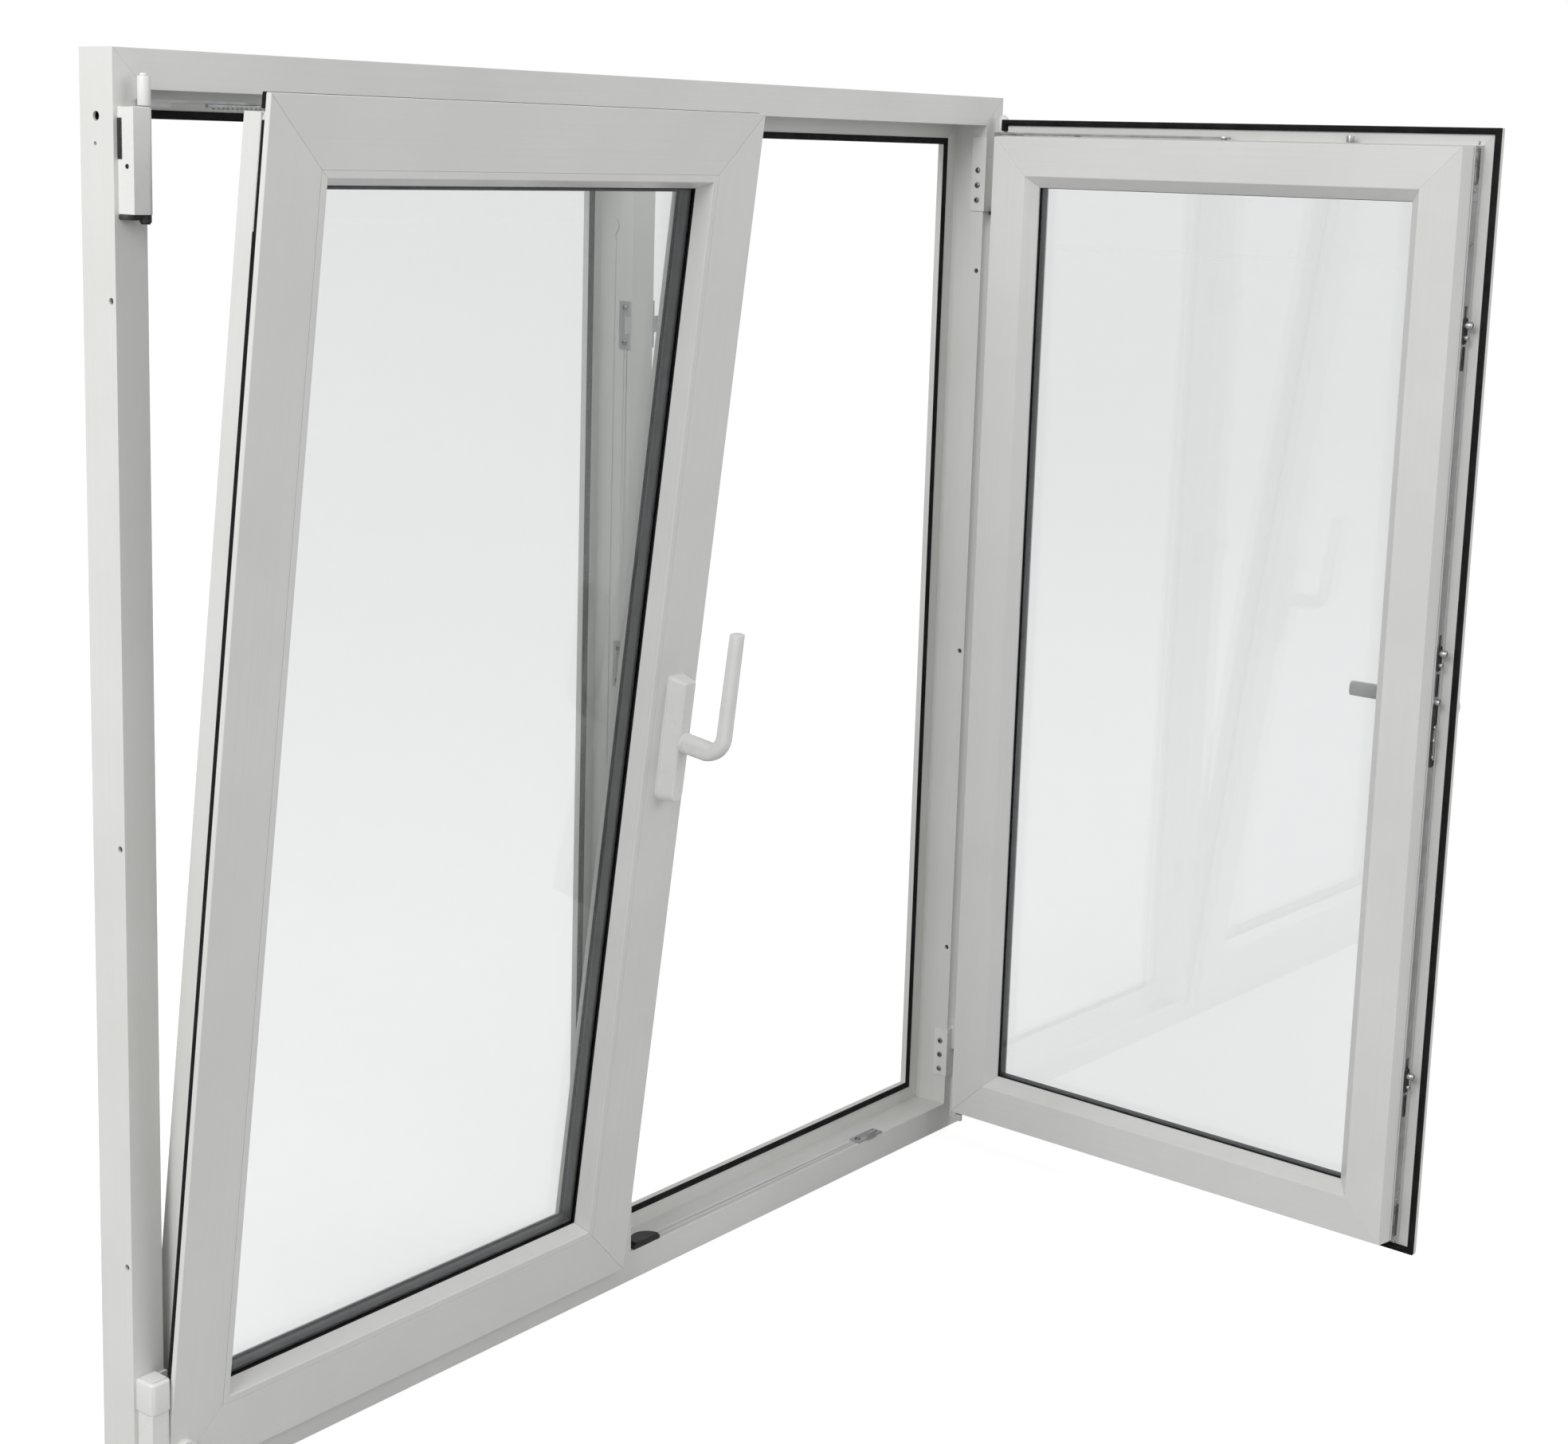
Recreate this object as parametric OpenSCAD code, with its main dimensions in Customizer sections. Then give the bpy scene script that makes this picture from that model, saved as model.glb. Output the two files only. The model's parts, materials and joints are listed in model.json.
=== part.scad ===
// Two-sash tilt-and-turn window: a welded plastic frame with a fixed mullion, a left sash
// resting tilted inwards and a right sash resting turned open. Each sash hangs on a corner
// bearing below and a stay above. X runs along the width, Y from the room to the outside,
// Z up. The origin is the middle of the frame's underside.

/* [Overall] */
// Outside width of the frame
frame_w = 1420; // [1000:10:2000]
// Outside height of the frame
frame_h = 1400; // [1100:10:1900]

/* [Frame profile] */
// Depth of the frame, from its room face to its outside face
frame_depth = 57; // [54:1:70]
// Width of the frame's room face
face_w = 36; // [33:1:48]
// Width of the mullion's room face
mullion_face = 36; // [34:1:50]
// How far the outside flange reaches past the room face
flange_reach = 25; // [20:1:30]
// How far the mullion's outside flange reaches past its room face
mullion_reach = 18; // [16:1:24]
// Thickness of the outside flange
flange_t = 8; // [7:0.5:10]
// Depth of the ridge that carries the fittings
ridge_depth = 20; // [18:1:24]
// Height of that ridge above the rebate floor
ridge_t = 3; // [2:0.5:4]
// Width of the step along the outside edge
step_w = 8; // [6:1:10]
// Depth of that step
step_depth = 10; // [6:1:10]
// Wall of the plastic profiles
wall = 2.6; // [2.2:0.1:3]
// Wall of the steel tubes inside them
steel_wall = 1.5; // [1:0.1:2]

/* [Sash profile] */
// How far a sash laps over the frame
overlap = 8; // [7:0.5:9]
// Thickness of the lapping lip
lip_t = 6.5; // [6:0.5:8]
// How far a sash stands in front of the frame's room face
sash_proud = 13; // [12:0.5:15]
// Width of the lip, from its edge to the side of the sash
lip_w = 20; // [19:0.5:22]
// Width from the lip's edge to the inner edge of the room face
room_face_w = 72; // [70:1:80]
// Width from the lip's edge to the glazing platform
platform_w = 64; // [62:1:68]
// Width from the lip's edge to the bead's sight line
bead_sight = 80; // [78:1:90]
// Width from the lip's edge to the outside lip's sight line
outer_sight = 84; // [82:1:94]
// Width of the fittings groove's seat
seat_w = 16; // [15:0.5:18]
// Depth of the seat, which the faceplates fill
seat_t = 3; // [3:0.1:4]
// Width of the channel under the seat
channel_w = 12; // [11:0.5:13]
// Depth of the channel from the sash's side
channel_t = 10; // [9:0.5:12]

/* [Glass] */
// Thickness of each pane
pane_t = 4; // [3:0.5:5]
// Space between the two panes
pane_gap = 12; // [10:1:14]

/* [Hinges] */
// Distance of the turning axis beyond the sash's edge
axis_out = 6.5; // [6.2:0.1:9]
// Distance of the turning axis in front of the sash's room face
axis_front = 3; // [3:0.5:6]
// Radius of the hinge barrels
barrel_r = 4.6; // [4:0.1:5]
// Radius of the hinge pins
pin_r = 2.4; // [2:0.1:3]
// Running clearance of the pins
pin_fit = 0.05; // [0.03:0.01:0.1]
// Distance from the turning axis to the stay's sliding stud
stay_reach = 336; // [300:1:360]

/* [Handle] */
// Height of the handle's spindle above the foot of the frame
handle_z = 693; // [500:1:900]
// Length of the handle's base
base_len = 145; // [130:1:160]
// Width of the handle's base
base_w = 28; // [26:1:34]
// Thickness of the handle's base
base_t = 22; // [18:0.5:24]
// Length of the lever, from its spindle to its tip
lever_len = 138; // [120:1:150]
// Stand-off of the lever's middle from the sash's room face
lever_off = 76; // [70:1:84]

/* [Positions] */
// Tilt of the left sash, 0 is shut
left_tilt = 7; // [0:0.5:7]
// Turn of the right sash, 0 is shut
right_turn = 89; // [0:1:90]
// Left handle, 0 is down and locked, 90 turns and 180 tilts
left_handle = 180; // [0:90:180]
// Right handle, 0 is down and locked, 90 turns and 180 tilts
right_handle = 90; // [0:90:180]

/* [Hidden] */
$fn = 48;

plastic = "white";
rubber = "black";
zinc = "silver";

// Frame sections, with Y measured from the room face.
half_w = frame_w / 2;
rebate_y = frame_depth - flange_t;
flange_w = face_w + flange_reach;
floor_w = face_w - ridge_t;
ridge_run = 2;
web_y = 10.6;
chamber_y = web_y + wall;
chamber_end = frame_depth - step_depth - wall;
steel_fit = 0.3;
steel_end = chamber_end - 4.4;
mullion_half = mullion_face / 2;
mullion_flange = mullion_half + mullion_reach;

// Sash sizes when shut. The left sash is drawn; the right one is its mirror image.
sash_x = -half_w + face_w - overlap;
sash_z = face_w - overlap;
sash_w = -mullion_half + overlap - sash_x;
sash_h = frame_h - 2 * sash_z;
sash_right = sash_x + sash_w;
sash_top = sash_z + sash_h;
sash_front = -sash_proud;
lip_back = sash_front + lip_t;
gasket_gap = 3;
sash_back = rebate_y - gasket_gap;
nose_taper = 2;
air_gap = lip_w - overlap;
touch = 0.3;

// Fittings groove, in the middle of the frame's ridge.
groove_y = 8;
seat_y = groove_y - seat_w / 2;
channel_y = groove_y - channel_w / 2;
drip_y = seat_y + seat_w + 2;
drip_w = 3;
taper_y = drip_y + drip_w + 1;
outer_web = 30;

// Glazing.
glass_y = 6;
glass_t = 2 * pane_t + pane_gap;
glass_back = glass_y + glass_t;
glass_edge = platform_w + 4;
outer_lip_y = glass_back + 2.5;
clip_y = 0.5;
clip_w = 3.5;
clip_t = 3;
spacer_w = 12;

// Hinge axes.
axis_x = sash_x - axis_out;
axis_y = sash_front - axis_front;
tilt_z = sash_z + 1;
knuckle_h = 15;
eye_gap = 0.3;
pivot_low = tilt_z - knuckle_h / 2;
pivot_high = tilt_z + knuckle_h / 2;
eye_h = 9;
bearing_top = 108;
leaf_t = 2.5;
leaf_low = 77;
leaf_high = 144;
leaf_d = 19;
jamb_x = -half_w + face_w;
leaf_left = -half_w + 6;
screw_y = 9;
screw_r = 2;
screw_head = 3.6;
corner_screws = [86, 106, 126];
stay_low = frame_h - 145;
stay_high = frame_h - 51;
stay_screws = [stay_low + 14, stay_low + 33, stay_low + 52];
arm_t = 2.5;
arm_z = sash_top - lip_w + 1.2;
arm_w = 15;
arm_eye_low = stay_high + eye_gap;
arm_eye_high = arm_z + 22;
stud_r = 3.5;
stud_len = 9;
stud_dy = groove_y - axis_y;
stud_x = axis_x + stay_reach;

// Wall fixings through the jambs.
fixing_r = 3.1;
fixing_y = 6.8;
fixings = [260, frame_h / 2 - 27, frame_h - 222];

// Lock fittings. A rod travels rod_step for each quarter turn of its handle.
rod_step = 18;
rod_t = 3;
rod_w = 10;
plate_t = 2.6;
rod_u = lip_w + seat_t + 0.1;
cam_r = 4.5;
neck_r = 2.8;
cam_h = 7.2;
lock_cams = [237, handle_z + 60, frame_h - 267];
top_cam = 160;
bottom_cam = 180;
keep_t = 2.5;
keep_h = 10;
keep_len = 18;
gear_u = lip_w + 15;
gear_len = 100;
gear_w = 8;
rack_w = 6;
spindle_w = 7;
pinion_r = 8.6;
handle_x = sash_right - gear_u;
lever_w = 20;
lever_t = 14;
bend_r = 22;
collar_r = 11.5;

// ---------- shared shapes ----------

// Everything is drawn with Y = 0 on the frame's room face, then centred on its depth.
module centred() {
    translate([0, -frame_depth / 2, 0]) children();
}

// A box between two corners.
module box(low, high) {
    translate(low) cube(high - low);
}

// A 2D rectangle between two corners.
module rect(low, high) {
    translate(low) square(high - low);
}

// A length of profile along +X. The 2D child has X as the depth and Y as the distance inwards.
module run(length) {
    rotate([90, 0, 90]) linear_extrude(length) children();
}

// The same length with its ends cut at 45 degrees.
module mitred(length, reach) {
    reach_y = 2 * frame_depth;
    intersection() {
        run(length) children();
        translate([0, reach_y, 0])
            rotate([90, 0, 0])
                linear_extrude(2 * reach_y)
                    polygon([[0, 0], [length, 0], [length - reach, reach], [reach, reach]]);
    }
}

// The four sides of a rectangle w by h, each one placed from a bar that lies along +X.
module at_bottom() {
    children();
}
module at_top(h) {
    translate([0, 0, h]) mirror([0, 0, 1]) children();
}
module at_left() {
    mirror([1, 0, 0]) rotate([0, -90, 0]) children();
}
module at_right(w) {
    translate([w, 0, 0]) rotate([0, -90, 0]) children();
}

// A closed ring of one profile around a rectangle w by h.
module ring(w, h, reach) {
    at_bottom() mitred(w, reach) children();
    at_top(h) mitred(w, reach) children();
    at_left() mitred(h, reach) children();
    at_right(w) mitred(h, reach) children();
}

module both_sides() {
    children();
    mirror([1, 0, 0]) children();
}

// ---------- profiles ----------

module frame_outline() {
    polygon([
        [0, 0], [frame_depth - step_depth, 0], [frame_depth - step_depth, step_w],
        [frame_depth, step_w], [frame_depth, flange_w], [rebate_y, flange_w],
        [rebate_y, floor_w], [ridge_depth + ridge_run, floor_w], [ridge_depth, face_w],
        [0, face_w]
    ]);
}

module frame_profile() {
    flange_y = rebate_y + wall;
    outer_y = frame_depth - wall;
    difference() {
        frame_outline();
        rect([wall, wall], [web_y, face_w - wall]);
        rect([chamber_y, wall], [chamber_end, floor_w - wall]);
        rect([frame_depth - step_depth, step_w + wall], [outer_y, floor_w - wall]);
        rect([flange_y, floor_w - wall], [outer_y, flange_w - wall]);
    }
}

module steel_profile(low, high) {
    difference() {
        rect(low, high);
        rect(low + [steel_wall, steel_wall], high - [steel_wall, steel_wall]);
    }
}

module mullion_profile() {
    floor_x = mullion_half - ridge_t;
    difference() {
        union() {
            rect([-floor_x, 0], [floor_x, frame_depth]);
            rect([-mullion_flange, rebate_y], [mullion_flange, frame_depth]);
            polygon([[-mullion_half, 0], [mullion_half, 0], [mullion_half, ridge_depth],
                [floor_x, ridge_depth + ridge_run], [-floor_x, ridge_depth + ridge_run],
                [-mullion_half, ridge_depth]]);
        }
        rect([wall - mullion_half, wall], [mullion_half - wall, web_y]);
        rect([wall - floor_x, chamber_y], [floor_x - wall, rebate_y - wall]);
        rect([wall - mullion_flange, rebate_y + wall],
            [mullion_flange - wall, frame_depth - wall]);
    }
}

module sash_outline() {
    seat_w2 = lip_w + seat_t;
    nose_w = lip_w + nose_taper;
    lip_face = outer_sight - 14;
    polygon([
        [sash_front, 0], [lip_back, 0], [lip_back, lip_w],
        [seat_y, lip_w], [seat_y, seat_w2], [channel_y, seat_w2],
        [channel_y, lip_w + channel_t], [channel_y + channel_w, lip_w + channel_t],
        [channel_y + channel_w, seat_w2], [seat_y + seat_w, seat_w2], [seat_y + seat_w, lip_w],
        [drip_y, lip_w], [drip_y, lip_w + 2.5], [drip_y + drip_w, lip_w + 2.5],
        [drip_y + drip_w, lip_w], [taper_y, lip_w], [sash_back, nose_w],
        [sash_back, lip_face], [outer_lip_y + 2.5, outer_sight], [outer_lip_y, outer_sight],
        [outer_lip_y, platform_w], [clip_y + clip_w, platform_w],
        [clip_y + clip_w, platform_w - clip_t], [clip_y, platform_w - clip_t],
        [clip_y, platform_w], [sash_front, platform_w]
    ]);
}

module sash_profile() {
    under = lip_w + channel_t + wall;
    top = platform_w - clip_t - wall;
    outer_y = outer_web + wall;
    back_y = sash_back - wall;
    difference() {
        sash_outline();
        rect([sash_front + wall, lip_w + wall], [seat_y - wall, platform_w - wall]);
        rect([0, under], [outer_web, top]);
        rect([taper_y + 0.6, lip_w + wall], [outer_web, under - wall]);
        rect([outer_y, lip_w + nose_taper + wall], [back_y, platform_w - wall]);
        polygon([[outer_y, platform_w], [back_y, platform_w], [back_y, outer_sight - 16],
            [outer_y, outer_sight - 8]]);
    }
}

module bead_profile() {
    foot_y = clip_y + clip_w - 0.5;
    base_w2 = platform_w + 0.1;
    difference() {
        polygon([
            [sash_front, base_w2], [sash_front, room_face_w - 1],
            [sash_front + 1, room_face_w], [foot_y, bead_sight],
            [foot_y, platform_w - clip_t + 0.3], [clip_y + 0.3, platform_w - clip_t + 0.3],
            [clip_y + 0.3, base_w2]
        ]);
        polygon([[sash_front + 2.5, base_w2 + 2], [sash_front + 2.5, room_face_w - 2.5],
            [foot_y - 2.5, bead_sight - 4.5], [foot_y - 2.5, base_w2 + 2]]);
    }
}

// Lip gasket on the back of the sash's lip.
module sash_gasket_profile() {
    polygon([[lip_back, 0], [lip_back, 7.5], [lip_back + 2.4, 7.5], [-touch, 5],
        [-touch, 1.2], [lip_back + 4, 0]]);
}

// Bubble gasket on the frame's outside flange.
module frame_gasket_profile() {
    polygon([[rebate_y, 0], [rebate_y, 8], [rebate_y - 1.4, 8],
        [rebate_y - gasket_gap + touch, 6.4], [rebate_y - gasket_gap + touch, 2],
        [rebate_y - 1.4, 0]]);
}

// ---------- frame ----------

module frame_bar(length) {
    mitred(length, flange_w) frame_profile();
}

// The bores that a jamb needs: wall fixings, hinge screws and a transport bore at its head.
module jamb_bores() {
    for (z = fixings)
        translate([-half_w - 1, fixing_y, z]) rotate([0, 90, 0]) cylinder(r = fixing_r, h = flange_w);
    for (z = concat(corner_screws, stay_screws))
        translate([jamb_x - 2 * wall, screw_y, z])
            rotate([0, 90, 0]) cylinder(r = screw_r + 0.05, h = 3 * wall);
    translate([-half_w - 1, 24, frame_h - 60])
        rotate([0, 90, 0]) cylinder(r = 4.5, h = 1 + 2 * wall);
    translate([-half_w - 1, 26, frame_h - 84])
        rotate([0, 90, 0]) cylinder(r = 2, h = 1 + 2 * wall);
}

module left_jamb() {
    color(plastic) centred() difference() {
        translate([-half_w, 0, 0]) at_left() frame_bar(frame_h);
        jamb_bores();
    }
}

module right_jamb() {
    color(plastic) centred() mirror([1, 0, 0]) difference() {
        translate([-half_w, 0, 0]) at_left() frame_bar(frame_h);
        jamb_bores();
    }
}

module head() {
    color(plastic) centred() difference() {
        translate([-half_w, 0, 0]) at_top(frame_h) frame_bar(frame_w);
        both_sides() head_keep_screws(screw_r + 0.05, 3 * wall);
    }
}

module sill() {
    color(plastic) centred() difference() {
        translate([-half_w, 0, 0]) frame_bar(frame_w);
        both_sides() sill_keep_screws(screw_r + 0.05, 3 * wall);
    }
}

module mullion() {
    color(plastic) centred() difference() {
        translate([0, 0, floor_w]) linear_extrude(frame_h - 2 * floor_w) mullion_profile();
        translate([-half_w / 2, 0, 0]) run(half_w) frame_outline();
        translate([-half_w / 2, 0, frame_h]) mirror([0, 0, 1]) run(half_w) frame_outline();
        both_sides() mullion_keep_screws(screw_r + 0.05, 3 * wall);
    }
}

// One ring around each light, on the flanges of the frame and the mullion.
module frame_gaskets() {
    inset = flange_w - 8;
    light_w = half_w - inset - mullion_flange + 8;
    color(rubber) centred() both_sides()
        translate([-half_w + inset, 0, inset])
            ring(light_w, frame_h - 2 * inset, 8) frame_gasket_profile();
}

// Steel tubes inside the four frame bars and the mullion.
module frame_steel() {
    low = [chamber_y + steel_fit, wall + steel_fit];
    high = [steel_end, floor_w - wall - steel_fit];
    half_x = mullion_half - ridge_t - wall - steel_fit;
    cut = flange_w + 2;
    color(zinc) centred() {
        translate([-half_w + cut, 0, 0]) run(frame_w - 2 * cut) steel_profile(low, high);
        translate([-half_w + cut, 0, frame_h]) mirror([0, 0, 1])
            run(frame_w - 2 * cut) steel_profile(low, high);
        both_sides() translate([-half_w, 0, cut]) at_left()
            run(frame_h - 2 * cut) steel_profile(low, high);
        translate([0, 0, face_w]) linear_extrude(frame_h - 2 * face_w)
            steel_profile([-half_x, low[0]], [half_x, high[0]]);
    }
}

// Blocks inside the mullion's steel that join it to the sill and the head.
module mullion_brackets() {
    half_x = mullion_half - ridge_t - wall - 2 * steel_fit - steel_wall;
    low_y = chamber_y + 2 * steel_fit + steel_wall;
    high_y = steel_end - steel_fit - steel_wall;
    bracket_h = 44;
    color(zinc) centred() {
        box([-half_x, low_y, face_w], [half_x, high_y, face_w + bracket_h]);
        box([-half_x, low_y, frame_h - face_w - bracket_h], [half_x, high_y, frame_h - face_w]);
    }
}

// Clip-on strips with a round head, on the rebate floors of the mullion.
module mullion_strips() {
    strip_w = 13;
    strip_t = 1.6;
    strip_y = 33;
    strip_x = mullion_half - ridge_t;
    low = 260;
    high = frame_h - 160;
    color(plastic) centred() both_sides() {
        box([-strip_x - strip_t, strip_y - strip_w / 2, low], [-strip_x, strip_y + strip_w / 2, high]);
        translate([-strip_x - strip_t - 0.6, strip_y, high])
            rotate([0, 90, 0]) cylinder(r = 0.8 * strip_w, h = strip_t + 0.6);
    }
}

// ---------- keeps ----------

// A keep lies along +X on a surface at Z = 0, with its hooking rail along the room side.
module keep(rail_y, rail_t) {
    difference() {
        union() {
            box([-26, 0.2, 0], [26, seat_w, keep_t]);
            box([-keep_len / 2, rail_y, 0], [keep_len / 2, rail_y + rail_t, keep_h]);
        }
        for (x = [-19, 19])
            translate([x, groove_y, -1]) cylinder(r = screw_r + 0.05, h = keep_t + 2);
    }
}

// The screws of one keep: a shank into the profile and a flat head on the plate.
module keep_screw_pair(r, length) {
    for (x = [-19, 19])
        translate([x, groove_y, -length]) cylinder(r = r, h = length + keep_t);
}

module keep_heads() {
    for (x = [-19, 19])
        translate([x, groove_y, keep_t]) cylinder(r = screw_head, h = 1.4);
}

// Places the children at every mullion keep of the left sash.
module at_mullion_keeps() {
    for (z = lock_cams)
        translate([-mullion_half, 0, z]) rotate([0, -90, 0]) children();
}
module at_head_keep() {
    translate([sash_right - top_cam, 0, frame_h - face_w]) rotate([180, 0, 0])
        mirror([0, 1, 0]) children();
}
module at_sill_keep() {
    translate([sash_x + bottom_cam, 0, face_w]) children();
}

module mullion_keep_screws(r, length) {
    at_mullion_keeps() keep_screw_pair(r, length);
}
module head_keep_screws(r, length) {
    at_head_keep() keep_screw_pair(r, length);
}
module sill_keep_screws(r, length) {
    at_sill_keep() keep_screw_pair(r, length);
}

module keeps() {
    rail_t = 2.8;
    color(zinc) centred() both_sides() {
        at_mullion_keeps() keep(0, rail_t);
        at_head_keep() keep(0, rail_t);
        at_sill_keep() keep(-2, rail_t);
    }
}

// Half-round blocks on the sill that lift a shutting sash beside the mullion.
module runup_blocks() {
    block_r = 23;
    block_h = 8;
    block_x = mullion_half + 7 + block_r;
    color(rubber) centred() both_sides()
        translate([-block_x, 0.5, face_w]) intersection() {
            union() {
                cylinder(r = block_r, h = block_h - 3);
                translate([0, 0, block_h - 3]) cylinder(r = block_r - 3, h = 3);
            }
            box([-block_r, 0, -1], [block_r, 21, block_h + 1]);
        }
}

// ---------- hinges ----------

// A leaf that folds from the frame's face round onto the rebate ridge.
module hinge_leaf(low, high, screws) {
    difference() {
        union() {
            box([leaf_left, -leaf_t, low], [jamb_x + leaf_t, 0, high]);
            box([jamb_x, -leaf_t, low], [jamb_x + leaf_t, leaf_d, high]);
        }
        for (z = screws)
            translate([jamb_x - 1, screw_y, z])
                rotate([0, 90, 0]) cylinder(r = screw_r + 0.05, h = leaf_t + 2);
    }
}

// A barrel on the turning axis with the web that carries it, and its bore.
module barrel(low, high) {
    difference() {
        union() {
            translate([axis_x, axis_y, low]) cylinder(r = barrel_r, h = high - low);
            box([axis_x - barrel_r, axis_y, low], [axis_x - barrel_r + 3, -leaf_t / 2, high]);
        }
        translate([axis_x, axis_y, low - 1]) cylinder(r = pin_r + pin_fit, h = high - low + 2);
    }
}

module hinge_pin(low, high) {
    translate([axis_x, axis_y, low]) cylinder(r = pin_r, h = high - low);
}

// Upper bearings, each with the pin that the stay arm turns on.
module stay_bearings() {
    color(zinc) centred() both_sides() {
        difference() {
            union() {
                hinge_leaf(stay_low, stay_high, stay_screws);
                barrel(stay_low + 6, stay_high);
            }
            translate([axis_x, axis_y, stay_low]) cylinder(r = pin_r + pin_fit, h = stay_high);
        }
        hinge_pin(stay_low + 6, arm_eye_high - 2);
    }
}

// Lower bearings: a long barrel above the knuckle, an eye below it and the pin through both.
module corner_bearings() {
    foot = pivot_low - eye_gap - eye_h;
    color(zinc) centred() both_sides() {
        difference() {
            union() {
                hinge_leaf(leaf_low, leaf_high, corner_screws);
                box([leaf_left, -leaf_t, foot], [axis_x, 0, leaf_low]);
                barrel(pivot_high + eye_gap, bearing_top);
                barrel(foot, foot + eye_h);
            }
            translate([axis_x, axis_y, foot - 1])
                cylinder(r = pin_r + pin_fit, h = bearing_top - foot + 2);
        }
        hinge_pin(foot, bearing_top);
    }
}

// Plastic covers over the bearings. Each is open towards the frame.
module hinge_cover(low, high) {
    skin = 1.2;
    nose_r = barrel_r + 0.3 + skin;
    left = leaf_left - skin - 0.2;
    translate([0, 0, low]) difference() {
        linear_extrude(high - low) difference() {
            union() {
                rect([left, axis_y - nose_r], [axis_x, 0]);
                translate([axis_x, axis_y]) circle(r = nose_r);
            }
            rect([leaf_left - 0.2, axis_y - nose_r + skin], [axis_x, -leaf_t - 0.1]);
            rect([leaf_left - 0.2, -leaf_t - 0.2], [axis_x + 1, 1]);
            translate([axis_x, axis_y]) circle(r = barrel_r + 0.3);
        }
    }
}

module hinge_covers() {
    color(plastic) centred() both_sides() {
        hinge_cover(stay_low, stay_high - 0.5);
        hinge_cover(bearing_top - 62, leaf_high);
    }
}

module fitting_screws() {
    color(zinc) centred() both_sides() {
        for (z = concat(corner_screws, stay_screws))
            translate([jamb_x - 5, screw_y, z]) rotate([0, 90, 0]) {
                cylinder(r = screw_r, h = 5 + leaf_t);
                translate([0, 0, 5 + leaf_t]) cylinder(r = screw_head, h = 1.4);
            }
        at_mullion_keeps() keep_screw(5);
        at_head_keep() keep_screw(5);
        at_sill_keep() keep_screw(5);
    }
}

module keep_screw(length) {
    keep_screw_pair(screw_r, length);
    keep_heads();
}

// ---------- places of the moving pieces ----------

function side_tilt(side) = side == "left" ? left_tilt : 0;
function side_turn(side) = side == "left" ? 0 : right_turn;
function side_handle(side) = side == "left" ? left_handle : right_handle;

// The stay's swing that keeps its stud in the sash's guide.
guide_rise = sash_top - lip_w - tilt_z;
function stay_angle(tilt) =
    asin((guide_rise * sin(tilt) - stud_dy * cos(tilt)) / norm([stay_reach, stud_dy]))
    + atan(stud_dy / stay_reach);

// The turning carrier of one side.
module on_carrier(side) {
    centred() mirror([side == "right" ? 1 : 0, 0, 0])
        translate([axis_x, axis_y, 0]) rotate([0, 0, -side_turn(side)])
            translate([-axis_x, -axis_y, 0]) children();
}

// The tilting sash of one side.
module on_sash(side) {
    on_carrier(side)
        translate([0, axis_y, tilt_z]) rotate([side_tilt(side), 0, 0])
            translate([0, -axis_y, -tilt_z]) children();
}

// The stay arm of one side.
module on_stay(side) {
    on_carrier(side)
        translate([axis_x, axis_y, 0]) rotate([0, 0, -stay_angle(side_tilt(side))])
            translate([-axis_x, -axis_y, 0]) children();
}

// The handle of one side, drawn pointing down.
module on_handle(side) {
    on_sash(side)
        translate([handle_x, 0, handle_z]) rotate([0, side_handle(side), 0]) children();
}

function rod_travel(side) = rod_step * side_handle(side) / 90;

// ---------- sash ----------

module sash_bar(length) {
    mitred(length, outer_sight) sash_profile();
}

module in_sash(side) {
    on_sash(side) translate([sash_x, 0, sash_z]) children();
}

module hinge_stile(side) {
    color(plastic) in_sash(side) at_left() sash_bar(sash_h);
}

// The lock stile has a pocket for the gearbox and bores for the spindle and the base's pegs.
module lock_stile(side) {
    spindle_z = handle_z - sash_z;
    color(plastic) in_sash(side) difference() {
        at_right(sash_w) sash_bar(sash_h);
        box([sash_w - gear_u - 13, channel_y, spindle_z - gear_len / 2 - 2],
            [sash_w - lip_w - 1, channel_y + channel_w, spindle_z + gear_len / 2 + 2]);
        translate([sash_w - gear_u, sash_front - 1, spindle_z])
            rotate([-90, 0, 0]) cylinder(r = 6, h = sash_proud + channel_y + 2);
        for (z = [-21.5, 21.5])
            translate([sash_w - gear_u, sash_front - 1, spindle_z + z])
                rotate([-90, 0, 0]) cylinder(r = 2.6, h = wall + 2);
    }
}

module top_rail(side) {
    color(plastic) in_sash(side) at_top(sash_h) sash_bar(sash_w);
}

module bottom_rail(side) {
    color(plastic) in_sash(side) sash_bar(sash_w);
}

// The two panes of the sealed unit.
module glass(side) {
    color("lightcyan", 0.35) in_sash(side)
        for (y = [glass_y, glass_back - pane_t])
            box([glass_edge, y, glass_edge], [sash_w - glass_edge, y + pane_t, sash_h - glass_edge]);
}

module spacer(side) {
    low = glass_edge + 4;
    color("dimgray") in_sash(side) difference() {
        box([low, glass_y + pane_t, low], [sash_w - low, glass_back - pane_t, sash_h - low]);
        box([low + spacer_w, 0, low + spacer_w],
            [sash_w - low - spacer_w, glass_back, sash_h - low - spacer_w]);
    }
}

module beads(side) {
    cut = 0.05;
    inner = platform_w - clip_t;
    color(plastic) in_sash(side) {
        for (k = [0, 1]) {
            translate([cut, 0, k * sash_h]) mirror([0, 0, k])
                mitred(sash_w - 2 * cut, bead_sight) bead_profile();
            translate([k * sash_w, 0, cut]) mirror([1 - k, 0, 0]) rotate([0, -90, 0])
                mitred(sash_h - 2 * cut, bead_sight) bead_profile();
        }
    }
}

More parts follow.
